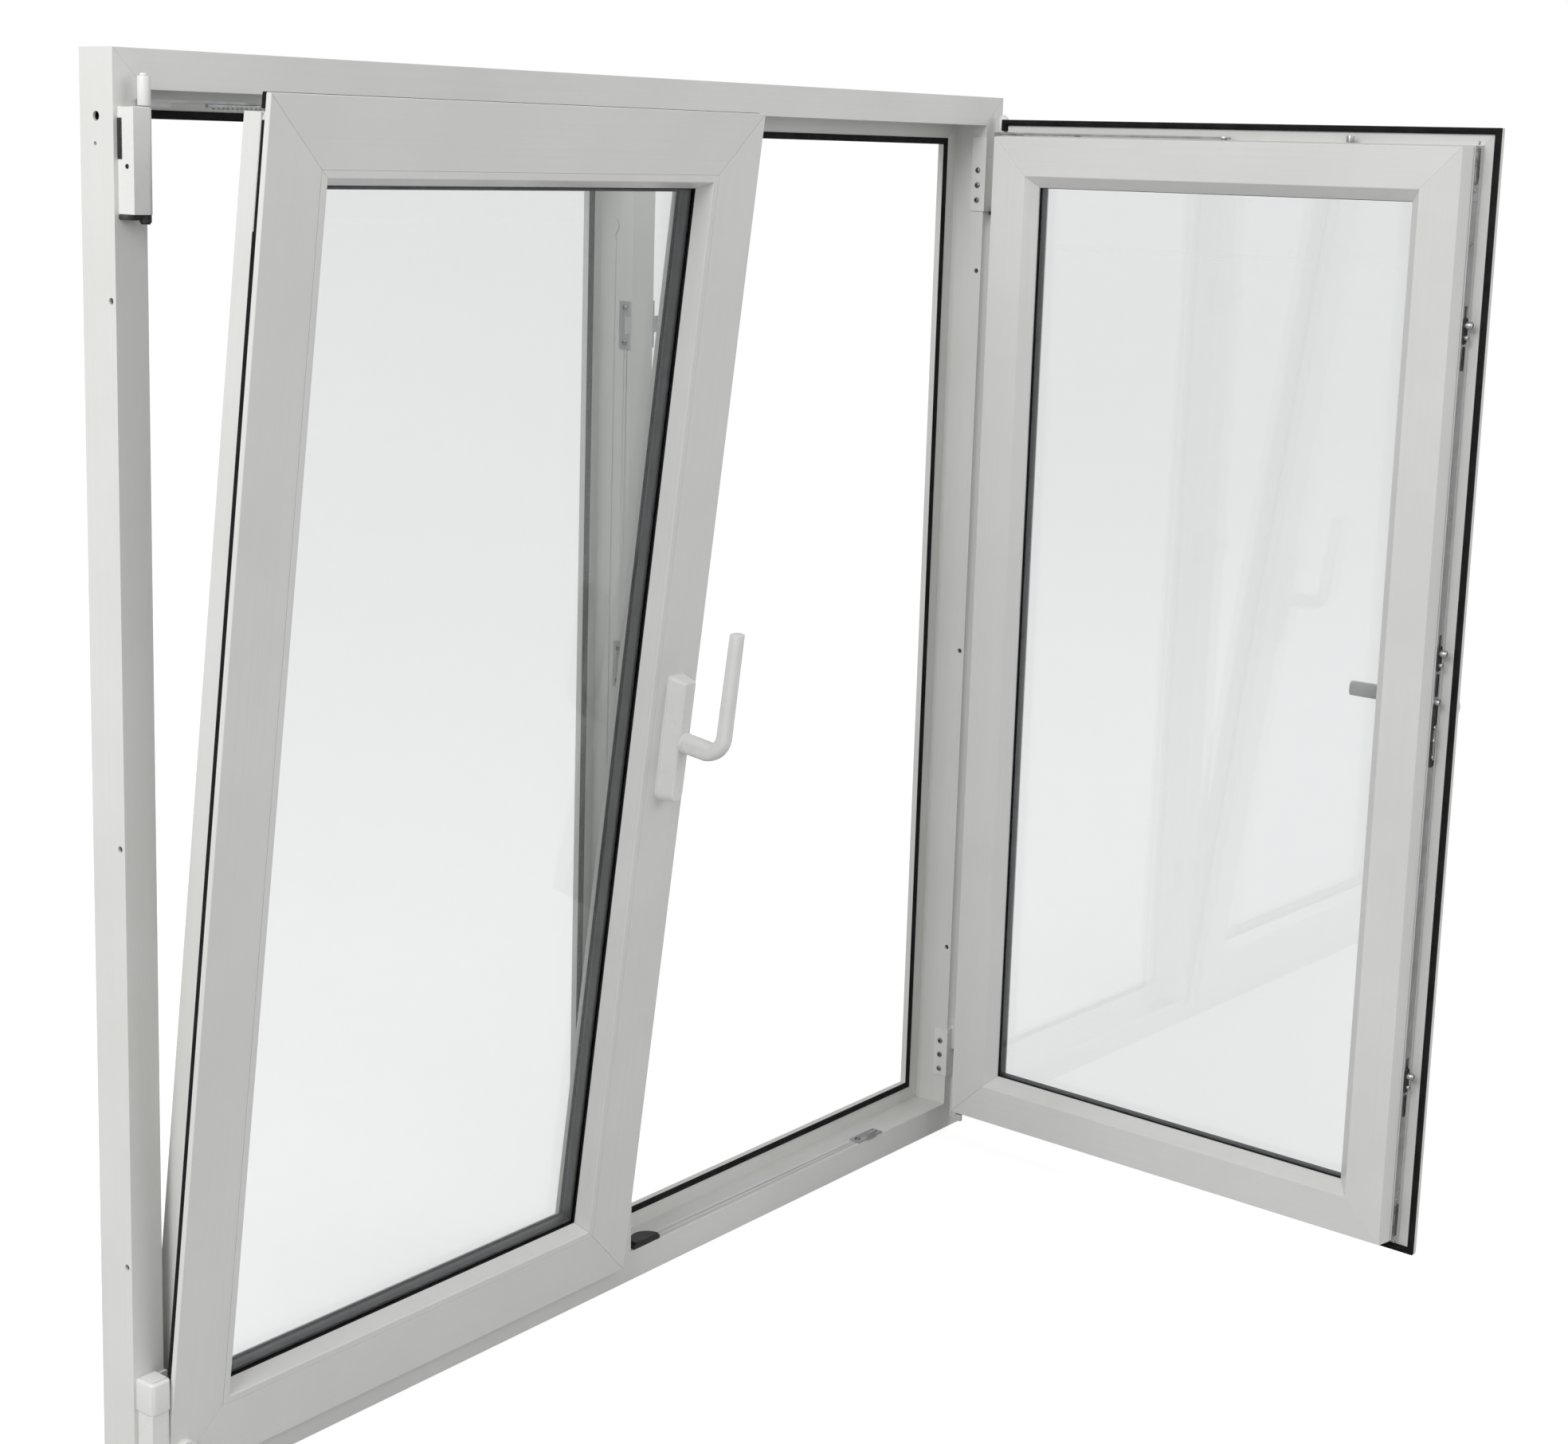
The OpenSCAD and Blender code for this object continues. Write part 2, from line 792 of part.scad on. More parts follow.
// Wedge gaskets on both faces of the glass.
module glazing_gasket(side) {
    room_y = clip_y + clip_w - 0.4;
    color(rubber) in_sash(side) {
        ring(sash_w, sash_h, bead_sight + 0.6)
            rect([room_y, bead_sight - 4], [glass_y - 0.1, bead_sight + 0.6]);
        ring(sash_w, sash_h, outer_sight + 0.6)
            rect([glass_back + 0.1, outer_sight - 5], [outer_lip_y - 0.1, outer_sight + 0.6]);
    }
}

// The lip gasket thins where the hinge leaves pass and stops where the stay arm crosses.
module sash_gasket(side) {
    thin_y = -leaf_t - 0.7;
    color(rubber) on_sash(side) difference() {
        translate([sash_x, 0, sash_z]) ring(sash_w, sash_h, 7.5) sash_gasket_profile();
        box([sash_x - 1, thin_y, leaf_low - 2], [sash_x + 9, 1, leaf_high + 2]);
        box([sash_x - 1, thin_y, stay_low - 2], [sash_x + 9, 1, stay_high + 2]);
        box([sash_x - 1, lip_back - 1, arm_eye_low - 1], [sash_x + 9, 1, arm_z + arm_t + 2]);
        for (z = lock_cams)
            box([sash_right - 9, -touch - 1, z - 14], [sash_right + 1, 1, z + 14]);
    }
}

module sash_steel(side) {
    low = [steel_fit, lip_w + channel_t + wall + steel_fit];
    high = [outer_web - 2, platform_w - clip_t - wall - steel_fit];
    cut = outer_sight + 2;
    spindle_z = handle_z - sash_z;
    color(zinc) in_sash(side) {
        translate([cut, 0, 0]) run(sash_w - 2 * cut) steel_profile(low, high);
        translate([cut, 0, sash_h]) mirror([0, 0, 1])
            run(sash_w - 2 * cut) steel_profile(low, high);
        translate([0, 0, cut]) at_left() run(sash_h - 2 * cut) steel_profile(low, high);
        difference() {
            translate([0, 0, cut]) at_right(sash_w)
                run(sash_h - 2 * cut) steel_profile(low, high);
            box([sash_w - gear_u - 13.5, -1, spindle_z - gear_len / 2 - 3],
                [sash_w - lip_w, channel_y + channel_w + 0.5, spindle_z + gear_len / 2 + 3]);
        }
    }
}

// ---------- lock fittings ----------

// Faceplate along +X on the sash's edge, with a slot for each cam's travel.
// A cam stands at slot and moves along +X when way is 1, along -X when it is -1.
module faceplate(low, high, slots, way) {
    travel = 2 * rod_step;
    difference() {
        box([low, seat_y + 0.2, lip_w], [high, seat_y + seat_w - 0.2, lip_w + plate_t]);
        for (x = slots)
            box([min(x, x + way * travel) - neck_r - 1, groove_y - neck_r - 0.7, lip_w - 1],
                [max(x, x + way * travel) + neck_r + 1, groove_y + neck_r + 0.7,
                    lip_w + plate_t + 1]);
    }
}

// Corner pieces and faceplates of the lock side, the top and the bottom.
module faceplates(side) {
    leg = 62;
    gap = 0.4;
    top_start = sash_w - 300;
    color(zinc) in_sash(side) {
        at_right(sash_w) faceplate(lip_w + leg + gap, sash_h - lip_w - leg - gap,
            [for (z = lock_cams) z - sash_z], 1);
        at_top(sash_h) faceplate(top_start, sash_w - lip_w - leg - gap, [sash_w - top_cam], -1);
        at_bottom() faceplate(110, sash_w - lip_w - leg - gap, [bottom_cam], 1);
        for (k = [0, 1])
            translate([0, 0, k * sash_h]) mirror([0, 0, k]) {
                box([sash_w - lip_w - leg, seat_y + 0.2, lip_w],
                    [sash_w - lip_w, seat_y + seat_w - 0.2, lip_w + plate_t]);
                box([sash_w - lip_w - plate_t, seat_y + 0.2, lip_w],
                    [sash_w - lip_w, seat_y + seat_w - 0.2, lip_w + leg]);
            }
    }
}

// A mushroom cam on a rod, standing along -Z.
module cam() {
    rotate([180, 0, 0]) {
        cylinder(r = neck_r, h = rod_u - lip_w + 0.6);
        translate([0, 0, rod_u - lip_w + 0.6]) cylinder(r = cam_r, h = cam_h);
    }
}

// A flat rod along +X in the channel, with its cams.
module rod(low, high, cams) {
    box([low, groove_y - rod_w / 2, rod_u], [high, groove_y + rod_w / 2, rod_u + rod_t]);
    for (x = cams)
        translate([x, groove_y, rod_u]) cam();
}

// The lock side's rod narrows to a rack inside the gearbox.
module drive_rod(side) {
    low = lip_w + 34;
    high = sash_h - lip_w - 34 - 2 * rod_step;
    gear_low = handle_z - sash_z - gear_len / 2 - 2 * rod_step - 2;
    gear_high = handle_z - sash_z + gear_len / 2 + 2;
    color(zinc) in_sash(side) translate([0, 0, rod_travel(side)]) at_right(sash_w) {
        difference() {
            rod(low, high, [for (z = lock_cams) z - sash_z]);
            for (y = [groove_y - rod_w / 2 - 1, groove_y + rack_w / 2])
                box([gear_low, y, rod_u - 1], [gear_high, y + 1 + (rod_w - rack_w) / 2, rod_u + rod_t + 1]);
        }
    }
}

module top_rod(side) {
    color(zinc) in_sash(side) translate([-rod_travel(side), 0, 0]) at_top(sash_h)
        rod(sash_w - 262, sash_w - 50, [sash_w - top_cam]);
}

module bottom_rod(side) {
    color(zinc) in_sash(side) translate([rod_travel(side), 0, 0]) at_bottom()
        rod(120, sash_w - 90, [bottom_cam]);
}

// Gearbox casing in its pocket behind the faceplate.
module gearbox(side) {
    half = gear_len / 2;
    spindle_z = handle_z - sash_z;
    shell_u = rod_u - 0.05;
    color(zinc) in_sash(side) at_right(sash_w) translate([spindle_z, 0, 0]) difference() {
        box([-half, groove_y - gear_w / 2 - 1, shell_u], [half, groove_y + gear_w / 2 + 1, gear_u + 12]);
        box([-half - 1, groove_y - rack_w / 2 - 0.4, shell_u - 1],
            [half + 1, groove_y + rack_w / 2 + 0.4, rod_u + rod_t + 0.3]);
        translate([0, groove_y - rack_w / 2 - 0.4, gear_u])
            rotate([-90, 0, 0]) cylinder(r = pinion_r + 0.4, h = rack_w + 0.8);
        translate([0, -1, gear_u]) rotate([-90, 0, 0]) cylinder(r = 5.6, h = 2 * groove_y);
    }
}

// Guide for the stay's stud, along the hinge half of the top.
module stay_guide(side) {
    slot_low = stud_x - sash_x - 40;
    slot_high = stud_x - sash_x + 8;
    color(zinc) in_sash(side) at_top(sash_h) difference() {
        box([lip_w + 4, seat_y + 0.2, lip_w], [slot_high + 6, seat_y + seat_w - 0.2, lip_w + plate_t]);
        box([slot_low, channel_y, lip_w - 1], [slot_high, channel_y + channel_w, lip_w + plate_t + 1]);
    }
}

// ---------- hinge pieces that move ----------

// Knuckle on the corner bearing's pin, with the trunnion that the sash tilts on.
module pivot(side) {
    trunnion = 34;
    color(zinc) on_carrier(side) difference() {
        union() {
            translate([axis_x, axis_y, pivot_low]) cylinder(r = barrel_r, h = knuckle_h);
            translate([axis_x, axis_y, tilt_z]) rotate([0, 90, 0]) cylinder(r = pin_r, h = trunnion);
        }
        translate([axis_x, axis_y, pivot_low - 1]) cylinder(r = pin_r + pin_fit, h = knuckle_h + 2);
    }
}

// Hinge block on the sash's lower corner, bored for the trunnion.
module corner_hinge(side) {
    low = sash_x + 1.5;
    high = sash_x + 30;
    rise = 46;
    block_t = axis_front + barrel_r;
    color(plastic) on_sash(side) difference() {
        union() {
            box([low, sash_front - block_t, tilt_z - 5], [high, sash_front, tilt_z + rise - 14]);
            translate([(low + high) / 2, sash_front, tilt_z + rise - 14])
                rotate([90, 0, 0]) cylinder(r = (high - low) / 2, h = block_t);
        }
        translate([low - 1, axis_y, tilt_z])
            rotate([0, 90, 0]) cylinder(r = pin_r + pin_fit, h = high - low + 2);
    }
}

// Stay arm: an eye on the upper pin, a crank round the sash's lip and a flat bar to the stud.
module stay_arm(side) {
    crank_y = -4.6;
    crank_right = sash_x + lip_w - 1;
    bar_left = jamb_x + 0.8;
    arm_top = arm_z + arm_t;
    color(zinc) on_stay(side) {
        difference() {
            union() {
                translate([axis_x, axis_y, arm_eye_low])
                    cylinder(r = barrel_r, h = arm_eye_high - arm_eye_low);
                box([axis_x - barrel_r, axis_y, arm_eye_low],
                    [axis_x - barrel_r + 3, crank_y + arm_t, arm_z]);
                box([axis_x - barrel_r, crank_y, arm_eye_low],
                    [crank_right, crank_y + arm_t, arm_top]);
                box([bar_left, crank_y, arm_z], [stud_x, groove_y + arm_w / 2, arm_top]);
            }
            translate([axis_x, axis_y, arm_eye_low - 1])
                cylinder(r = pin_r + pin_fit, h = arm_z);
            box([bar_left + 24, crank_y - 1, arm_z - 1],
                [stud_x + 1, groove_y - arm_w / 2, arm_top + 1]);
        }
        translate([stud_x, groove_y, arm_z]) cylinder(r = arm_w / 2, h = arm_t);
        translate([stud_x, groove_y, arm_z - stud_len]) cylinder(r = stud_r, h = stud_len);
    }
}

// ---------- handle ----------

// Upright outline of the base: round below, nearly square above.
module base_outline(inset) {
    half = base_w / 2 - inset;
    low = -base_len / 2 + base_w / 2;
    high = base_len / 2 - inset;
    corner = 5;
    translate([0, low]) circle(r = half);
    rect([-half, low], [half, high - corner]);
    rect([-half + corner, low], [half - corner, high]);
    for (x = [-half + corner, half - corner])
        translate([x, high - corner]) circle(r = corner);
}

// Base screwed to the sash, with a tall body and a stepped rim.
module handle_base(side) {
    rim = 3;
    color(plastic) on_sash(side) translate([handle_x, sash_front, handle_z])
        rotate([90, 0, 0]) difference() {
            union() {
                linear_extrude(base_t - rim) base_outline(0);
                linear_extrude(base_t) base_outline(1.6);
            }
            translate([0, 0, -1]) cylinder(r = 5.4, h = base_t + 2);
        }
}

// Section of the lever: a bar with round edges.
module lever_section() {
    side = (lever_w - lever_t) / 2;
    square([lever_t, 2 * side], center = true);
    for (y = [-side, side])
        translate([0, y]) circle(r = lever_t / 2);
}

// Lever, drawn pointing down from its neck, with the collar that turns on the base.
module handle(side) {
    neck = lever_off - base_t - bend_r;
    front = sash_front - base_t - touch;
    straight = lever_len - bend_r;
    color(plastic) on_handle(side) {
        translate([0, front, 0]) rotate([90, 0, 0]) {
            cylinder(r = collar_r, h = 5);
            linear_extrude(neck) rotate([0, 0, 90]) lever_section();
        }
        translate([0, front - neck, -bend_r]) rotate([180, -90, 0])
            rotate_extrude(angle = 90) translate([bend_r, 0]) lever_section();
        translate([0, front - neck - bend_r, -bend_r - straight])
            linear_extrude(straight) rotate([0, 0, 90]) lever_section();
    }
}

// Square spindle with the pinion that drives the rack.
module spindle(side) {
    front = sash_front - base_t - touch;
    color(zinc) on_handle(side) {
        translate([-spindle_w / 2, front, -spindle_w / 2])
            cube([spindle_w, groove_y + gear_w / 2 - front, spindle_w]);
        translate([0, groove_y - rack_w / 2, 0])
            rotate([-90, 0, 0]) cylinder(r = pinion_r, h = rack_w);
    }
}

// ---------- nodes ----------

left_jamb();
right_jamb();
head();
sill();
mullion();
frame_gaskets();
frame_steel();
mullion_brackets();
mullion_strips();
keeps();
runup_blocks();
stay_bearings();
corner_bearings();
hinge_covers();
fitting_screws();
pivot("left");  // left_pivot
stay_arm("left");  // left_stay_arm
hinge_stile("left");  // left_hinge_stile
lock_stile("left");  // left_lock_stile
top_rail("left");  // left_top_rail
bottom_rail("left");  // left_bottom_rail
glass("left");  // left_glass
spacer("left");  // left_spacer
beads("left");  // left_beads
glazing_gasket("left");  // left_glazing_gasket
sash_gasket("left");  // left_sash_gasket
sash_steel("left");  // left_sash_steel
faceplates("left");  // left_faceplates
stay_guide("left");  // left_stay_guide
corner_hinge("left");  // left_corner_hinge
gearbox("left");  // left_gearbox
handle_base("left");  // left_handle_base
handle("left");  // left_handle
spindle("left");  // left_spindle
drive_rod("left");  // left_drive_rod
top_rod("left");  // left_top_rod
bottom_rod("left");  // left_bottom_rod
pivot("right");  // right_pivot
stay_arm("right");  // right_stay_arm
hinge_stile("right");  // right_hinge_stile
lock_stile("right");  // right_lock_stile
top_rail("right");  // right_top_rail
bottom_rail("right");  // right_bottom_rail
glass("right");  // right_glass
spacer("right");  // right_spacer
beads("right");  // right_beads
glazing_gasket("right");  // right_glazing_gasket
sash_gasket("right");  // right_sash_gasket
sash_steel("right");  // right_sash_steel
faceplates("right");  // right_faceplates
stay_guide("right");  // right_stay_guide
corner_hinge("right");  // right_corner_hinge
gearbox("right");  // right_gearbox
handle_base("right");  // right_handle_base
handle("right");  // right_handle
spindle("right");  // right_spindle
drive_rod("right");  // right_drive_rod
top_rod("right");  // right_top_rod
bottom_rod("right");  // right_bottom_rod
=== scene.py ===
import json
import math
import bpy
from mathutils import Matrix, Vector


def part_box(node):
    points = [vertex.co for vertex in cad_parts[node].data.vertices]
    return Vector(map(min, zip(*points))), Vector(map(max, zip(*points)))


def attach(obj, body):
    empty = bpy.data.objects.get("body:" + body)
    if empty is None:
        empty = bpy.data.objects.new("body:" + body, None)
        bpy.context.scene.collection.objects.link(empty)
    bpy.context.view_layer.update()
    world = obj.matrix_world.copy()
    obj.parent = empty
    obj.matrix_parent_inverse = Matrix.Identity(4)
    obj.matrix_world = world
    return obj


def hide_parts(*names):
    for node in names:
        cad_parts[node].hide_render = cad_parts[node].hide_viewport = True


bl_info = {
    "name": "Tilt and turn window",
    "version": (1, 0, 0),
    "blender": (4, 5, 0),
    "location": "View3D > Sidebar > Window",
    "description": "Finishes, handles, hinge caps and lock fittings of a two-sash plastic window",
    "category": "Object",
}

import bpy
from mathutils import Matrix, Vector

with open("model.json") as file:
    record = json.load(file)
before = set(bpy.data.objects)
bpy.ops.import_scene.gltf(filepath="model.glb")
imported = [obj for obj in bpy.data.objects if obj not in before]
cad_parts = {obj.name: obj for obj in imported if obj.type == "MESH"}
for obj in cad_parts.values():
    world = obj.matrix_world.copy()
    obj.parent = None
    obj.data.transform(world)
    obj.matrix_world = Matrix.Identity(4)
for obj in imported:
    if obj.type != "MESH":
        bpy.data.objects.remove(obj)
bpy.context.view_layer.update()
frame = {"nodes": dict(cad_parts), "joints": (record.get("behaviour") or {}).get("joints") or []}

# ---------- places ----------

JOINTS = {joint["name"]: joint for joint in frame["joints"]}
SIDES = ("left", "right")
MM = 0.001
MIRROR = Matrix.Scale(-1, 4, (1, 0, 0))


def turned(joint, degrees):
    """The matrix of a hinge turned by some degrees about its own axis."""
    pivot = Vector(joint["pos_m"])
    turn = Matrix.Rotation(math.radians(degrees), 4, Vector(joint["axis"]))
    return Matrix.Translation(pivot) @ turn @ Matrix.Translation(-pivot)


# Pieces are drawn on the left sash, shut, and these carry them to where they rest.
TILTED = turned(JOINTS["left_tilt"], -JOINTS["left_tilt"]["range_deg"][0])
OPENED = turned(JOINTS["right_turn"], -JOINTS["right_turn"]["range_deg"][0])
ON_FRAME = {"left": Matrix.Identity(4), "right": MIRROR}
ON_SASH = {"left": TILTED, "right": OPENED @ MIRROR}

# The foot of the handle's spindle, on the shut sash's room face.
SPINDLE = TILTED.inverted() @ Vector(JOINTS["left_handle_turn"]["pos_m"])
HANDLE_ANGLE = {side: -JOINTS[side + "_handle_turn"]["range_deg"][0] for side in SIDES}
ROD_STEP = 18 * MM
STAY_ANGLE = {"left": -JOINTS["left_stay_swing"]["range_deg"][0], "right": 0}

HINGE_AXIS = Vector(JOINTS["left_turn"]["pos_m"])
ROOM_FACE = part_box("left_jamb")[0].y
JAMB_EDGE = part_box("left_jamb")[0].x
FRAME_FACE = 36 * MM
RIDGE = JAMB_EDGE + FRAME_FACE
LOCK_SIDE = -30 * MM
GROOVE = ROOM_FACE + 8 * MM
SASH_FOOT = 28 * MM
SASH_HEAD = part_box("head")[1].z - SASH_FOOT
LOCK_POINTS = (237 * MM, 753 * MM, 1133 * MM)
STAY_EYE = SASH_HEAD - 23 * MM
ARM_UNDERSIDE = 1353.2 * MM
KEEP_THICKNESS = 2.5 * MM
KEEP_SCREW_SPREAD = 19 * MM
LEAF_SCREWS = (86 * MM, 106 * MM, 126 * MM)
STAY_LEAF_DROPS = (131 * MM, 112 * MM, 93 * MM)
COVER_LENGTH = 42 * MM

# Places nearer than this count as one.
CLOSE = 0.01 * MM
SENSOR_WIDTH = 36
FLOOR_SIZE = 60
FLOOR_DROP = 0.5 * MM
LAMP_AIM = Vector((0, -0.1, 0.7))
# The fill lamp against the key, and how much of the sky the floor gives back.
FILL_SHARE = 0.35
FLOOR_SHARE = 0.55


def on_handle(side):
    """The matrix of a lever that was drawn pointing down."""
    turn = Matrix.Rotation(math.radians(HANDLE_ANGLE[side]), 4, "Y")
    return ON_SASH[side] @ Matrix.Translation(SPINDLE) @ turn @ Matrix.Translation(-SPINDLE)


def on_rod(side, way):
    """The matrix of a piece on a rod that has travelled with its handle."""
    travel = ROD_STEP * HANDLE_ANGLE[side] / 90
    return ON_SASH[side] @ Matrix.Translation(Vector(way) * travel)


def on_stay(side):
    """The matrix of a piece on a stay arm, drawn along the shut sash."""
    pivot = Matrix.Translation(HINGE_AXIS)
    swing = Matrix.Rotation(-math.radians(STAY_ANGLE[side]), 4, "Z")
    carried = Matrix.Identity(4) if side == "left" else OPENED @ MIRROR
    return carried @ pivot @ swing @ pivot.inverted()


# ---------- sizes and colours ----------


def length(name, description, millimetres):
    """A length property, in metres."""
    return bpy.props.FloatProperty(
        name=name, description=description, default=millimetres * MM, unit="LENGTH",
        precision=4)


def colour(name, description, value):
    """A colour property."""
    return bpy.props.FloatVectorProperty(
        name=name, description=description, default=value, size=3, subtype="COLOR",
        min=0, max=1)


class WindowSizes(bpy.types.PropertyGroup):
    """Sizes of the modelled pieces."""

    edge: length("Profile edge", "Round of the profiles' edges and weld grooves", 0.8)
    trim_edge: length("Trim edge", "Round of the small fittings' edges", 0.35)
    lever_width: length("Lever width", "Width of the lever across its grip", 19)
    neck_height: length("Neck height", "Height of the lever's neck", 22)
    lever_depth: length("Lever depth", "Thickness of the lever's grip", 14)
    lever_length: length("Lever length", "Spindle to tip", 138)
    lever_reach: length("Lever reach", "Sash face to the middle of the grip", 76)
    bend: length("Bend", "Radius of the lever's elbow along its middle", 22)
    base_width: length("Base width", "Width of the handle's base", 28)
    base_length: length("Base length", "Height of the handle's base", 145)
    base_depth: length("Base depth", "Thickness of the handle's base", 22)
    base_slant: length("Base slant", "How far the base's long sides lean in", 4.5)
    screw_head: length("Screw head", "Radius of the fitting screws' heads", 3.6)


class WindowColours(bpy.types.PropertyGroup):
    """Colours of the finishes."""

    plastic: colour("Plastic", "White of the extruded profiles", (0.77, 0.775, 0.755))
    shade: colour("Plastic shade", "Slightly darker streaks in the profiles", (0.69, 0.69, 0.665))
    moulded: colour("Moulded white", "Handles, caps and coated metal", (0.80, 0.80, 0.785))
    rubber: colour("Seal", "Black of the seals", (0.005, 0.005, 0.0055))
    dust: colour("Dust", "Pale dust on seals and ledges", (0.50, 0.48, 0.44))
    zinc: colour("Zinc", "Plated fittings", (0.56, 0.57, 0.58))
    glass: colour("Glass", "Tint of the panes", (0.862, 0.872, 0.871))
    floor: colour("Floor", "Studio floor", (0.55, 0.55, 0.55))


class WindowStage(bpy.types.PropertyGroup):
    """Camera and light."""

    place: bpy.props.FloatVectorProperty(
        name="Camera place", description="Where the camera stands",
        default=(-2.1519, -1.8978, 1.3274), subtype="TRANSLATION", unit="LENGTH")
    aim: bpy.props.FloatVectorProperty(
        name="Camera angles", description="How the camera is turned, in degrees",
        default=(79.6, -1.531, -50.93))
    lens: bpy.props.FloatProperty(
        name="Lens", description="Focal length in millimetres", default=58.98)
    shift: bpy.props.FloatVectorProperty(
        name="Shift", description="Lens shift", default=(0.0342, -0.0656), size=2)
    sky: bpy.props.FloatProperty(
        name="Sky", description="Strength of the even light all round", default=0.52)
    backdrop: bpy.props.FloatProperty(
        name="Backdrop", description="Brightness of the floor and backdrop as seen", default=1.04)
    key: bpy.props.FloatProperty(
        name="Key", description="Power of the large soft light, in watts", default=105)


def sizes():
    """The sizes that the pieces are modelled to."""
    return bpy.context.scene.window_sizes


def colours():
    """The colours that the finishes are mixed from."""
    return bpy.context.scene.window_colours


def rgba(value):
    """A colour with its alpha."""
    return (value[0], value[1], value[2], 1.0)


# ---------- shared shader groups ----------


def new_group(name, inputs, outputs):
    """An empty shader group with its named sockets, and its two end nodes."""
    group = bpy.data.node_groups.new(name, "ShaderNodeTree")
    for socket, kind, value in inputs:
        made = group.interface.new_socket(name=socket, in_out="INPUT", socket_type=kind)
        if value is not None:
            made.default_value = value
    for socket, kind in outputs:
        group.interface.new_socket(name=socket, in_out="OUTPUT", socket_type=kind)
    return group, group.nodes.new("NodeGroupInput"), group.nodes.new("NodeGroupOutput")


def maths(tree, operation, first, second, clamp=False):
    """A maths node. Each value is a socket or a number."""
    node = tree.nodes.new("ShaderNodeMath")
    node.operation = operation
    node.use_clamp = clamp
    for socket, value in zip(node.inputs, (first, second)):
        if hasattr(value, "node"):
            tree.links.new(value, socket)
        else:
            socket.default_value = value
    return node.outputs[0]


def noise(tree, vector, scale, detail=2.0, roughness=0.5):
    """A noise texture on a vector. The scale is a socket or a number."""
    node = tree.nodes.new("ShaderNodeTexNoise")
    tree.links.new(vector, node.inputs["Vector"])
    node.inputs["Detail"].default_value = detail
    node.inputs["Roughness"].default_value = roughness
    if hasattr(scale, "node"):
        tree.links.new(scale, node.inputs["Scale"])
    else:
        node.inputs["Scale"].default_value = scale
    return node.outputs["Fac"]


def ramp(tree, value, low, high):
    """A value that rises from 0 at low to 1 at high."""
    node = tree.nodes.new("ShaderNodeMapRange")
    node.interpolation_type = "SMOOTHSTEP"
    tree.links.new(value, node.inputs["Value"])
    node.inputs["From Min"].default_value = low
    node.inputs["From Max"].default_value = high
    return node.outputs["Result"]


def mottle_group():
    """Broad, faint patches where a surface varies."""
    group, start, end = new_group(
        "Mottle", [("Vector", "NodeSocketVector", None), ("Scale", "NodeSocketFloat", 6.0)],
        [("Mask", "NodeSocketFloat")])
    patches = noise(group, start.outputs["Vector"], start.outputs["Scale"], 4.0, 0.6)
    group.links.new(ramp(group, patches, 0.32, 0.68), end.inputs["Mask"])
    return group


def draw_lines_group():
    """Fine lines that run the way a profile was drawn, along the vector's Z."""
    group, start, end = new_group(
        "Draw lines", [("Vector", "NodeSocketVector", None)],
        [("Mask", "NodeSocketFloat"), ("Height", "NodeSocketFloat")])
    stretch = group.nodes.new("ShaderNodeMapping")
    stretch.inputs["Scale"].default_value = (420, 420, 1.2)
    group.links.new(start.outputs["Vector"], stretch.inputs["Vector"])
    lines = noise(group, stretch.outputs["Vector"], 1.0, 3.0, 0.7)
    group.links.new(ramp(group, lines, 0.45, 0.75), end.inputs["Mask"])
    group.links.new(lines, end.inputs["Height"])
    return group


def dust_group():
    """Dust that settles on faces that look up, broken by patches."""
    group, start, end = new_group(
        "Settled dust",
        [("Vector", "NodeSocketVector", None), ("Amount", "NodeSocketFloat", 0.5)],
        [("Mask", "NodeSocketFloat")])
    geometry = group.nodes.new("ShaderNodeNewGeometry")
    parts = group.nodes.new("ShaderNodeSeparateXYZ")
    group.links.new(geometry.outputs["Normal"], parts.inputs[0])
    upward = ramp(group, parts.outputs["Z"], 0.2, 0.95)
    patches = ramp(group, noise(group, start.outputs["Vector"], 45.0, 5.0, 0.7), 0.4, 0.75)
    mask = maths(group, "MULTIPLY", upward, patches)
    mask = maths(group, "MULTIPLY", mask, start.outputs["Amount"], clamp=True)
    group.links.new(mask, end.inputs["Mask"])
    return group


def rubbed_group():
    """Edges that handling has rubbed, from how sharply the surface turns."""
    group, start, end = new_group(
        "Rubbed edges",
        [("Vector", "NodeSocketVector", None), ("Amount", "NodeSocketFloat", 0.5)],
        [("Mask", "NodeSocketFloat")])
    geometry = group.nodes.new("ShaderNodeNewGeometry")
    edge = ramp(group, geometry.outputs["Pointiness"], 0.53, 0.62)
    broken = ramp(group, noise(group, start.outputs["Vector"], 160.0, 4.0, 0.7), 0.35, 0.65)
    mask = maths(group, "MULTIPLY", edge, broken)
    mask = maths(group, "MULTIPLY", mask, start.outputs["Amount"], clamp=True)
    group.links.new(mask, end.inputs["Mask"])
    return group


def grain_group():
    """The fine skin of a moulded or coated surface, as a height."""
    group, start, end = new_group(
        "Fine grain",
        [("Vector", "NodeSocketVector", None), ("Scale", "NodeSocketFloat", 900.0)],
        [("Height", "NodeSocketFloat")])
    grain = noise(group, start.outputs["Vector"], start.outputs["Scale"], 3.0, 0.6)
    group.links.new(grain, end.inputs["Height"])
    return group


GROUPS = {}


def make_groups():
    """Builds each shared group once."""
    makers = {"mottle": mottle_group, "lines": draw_lines_group, "dust": dust_group,
              "rubbed": rubbed_group, "grain": grain_group}
    for name, maker in makers.items():
        GROUPS[name] = maker()


# ---------- materials ----------


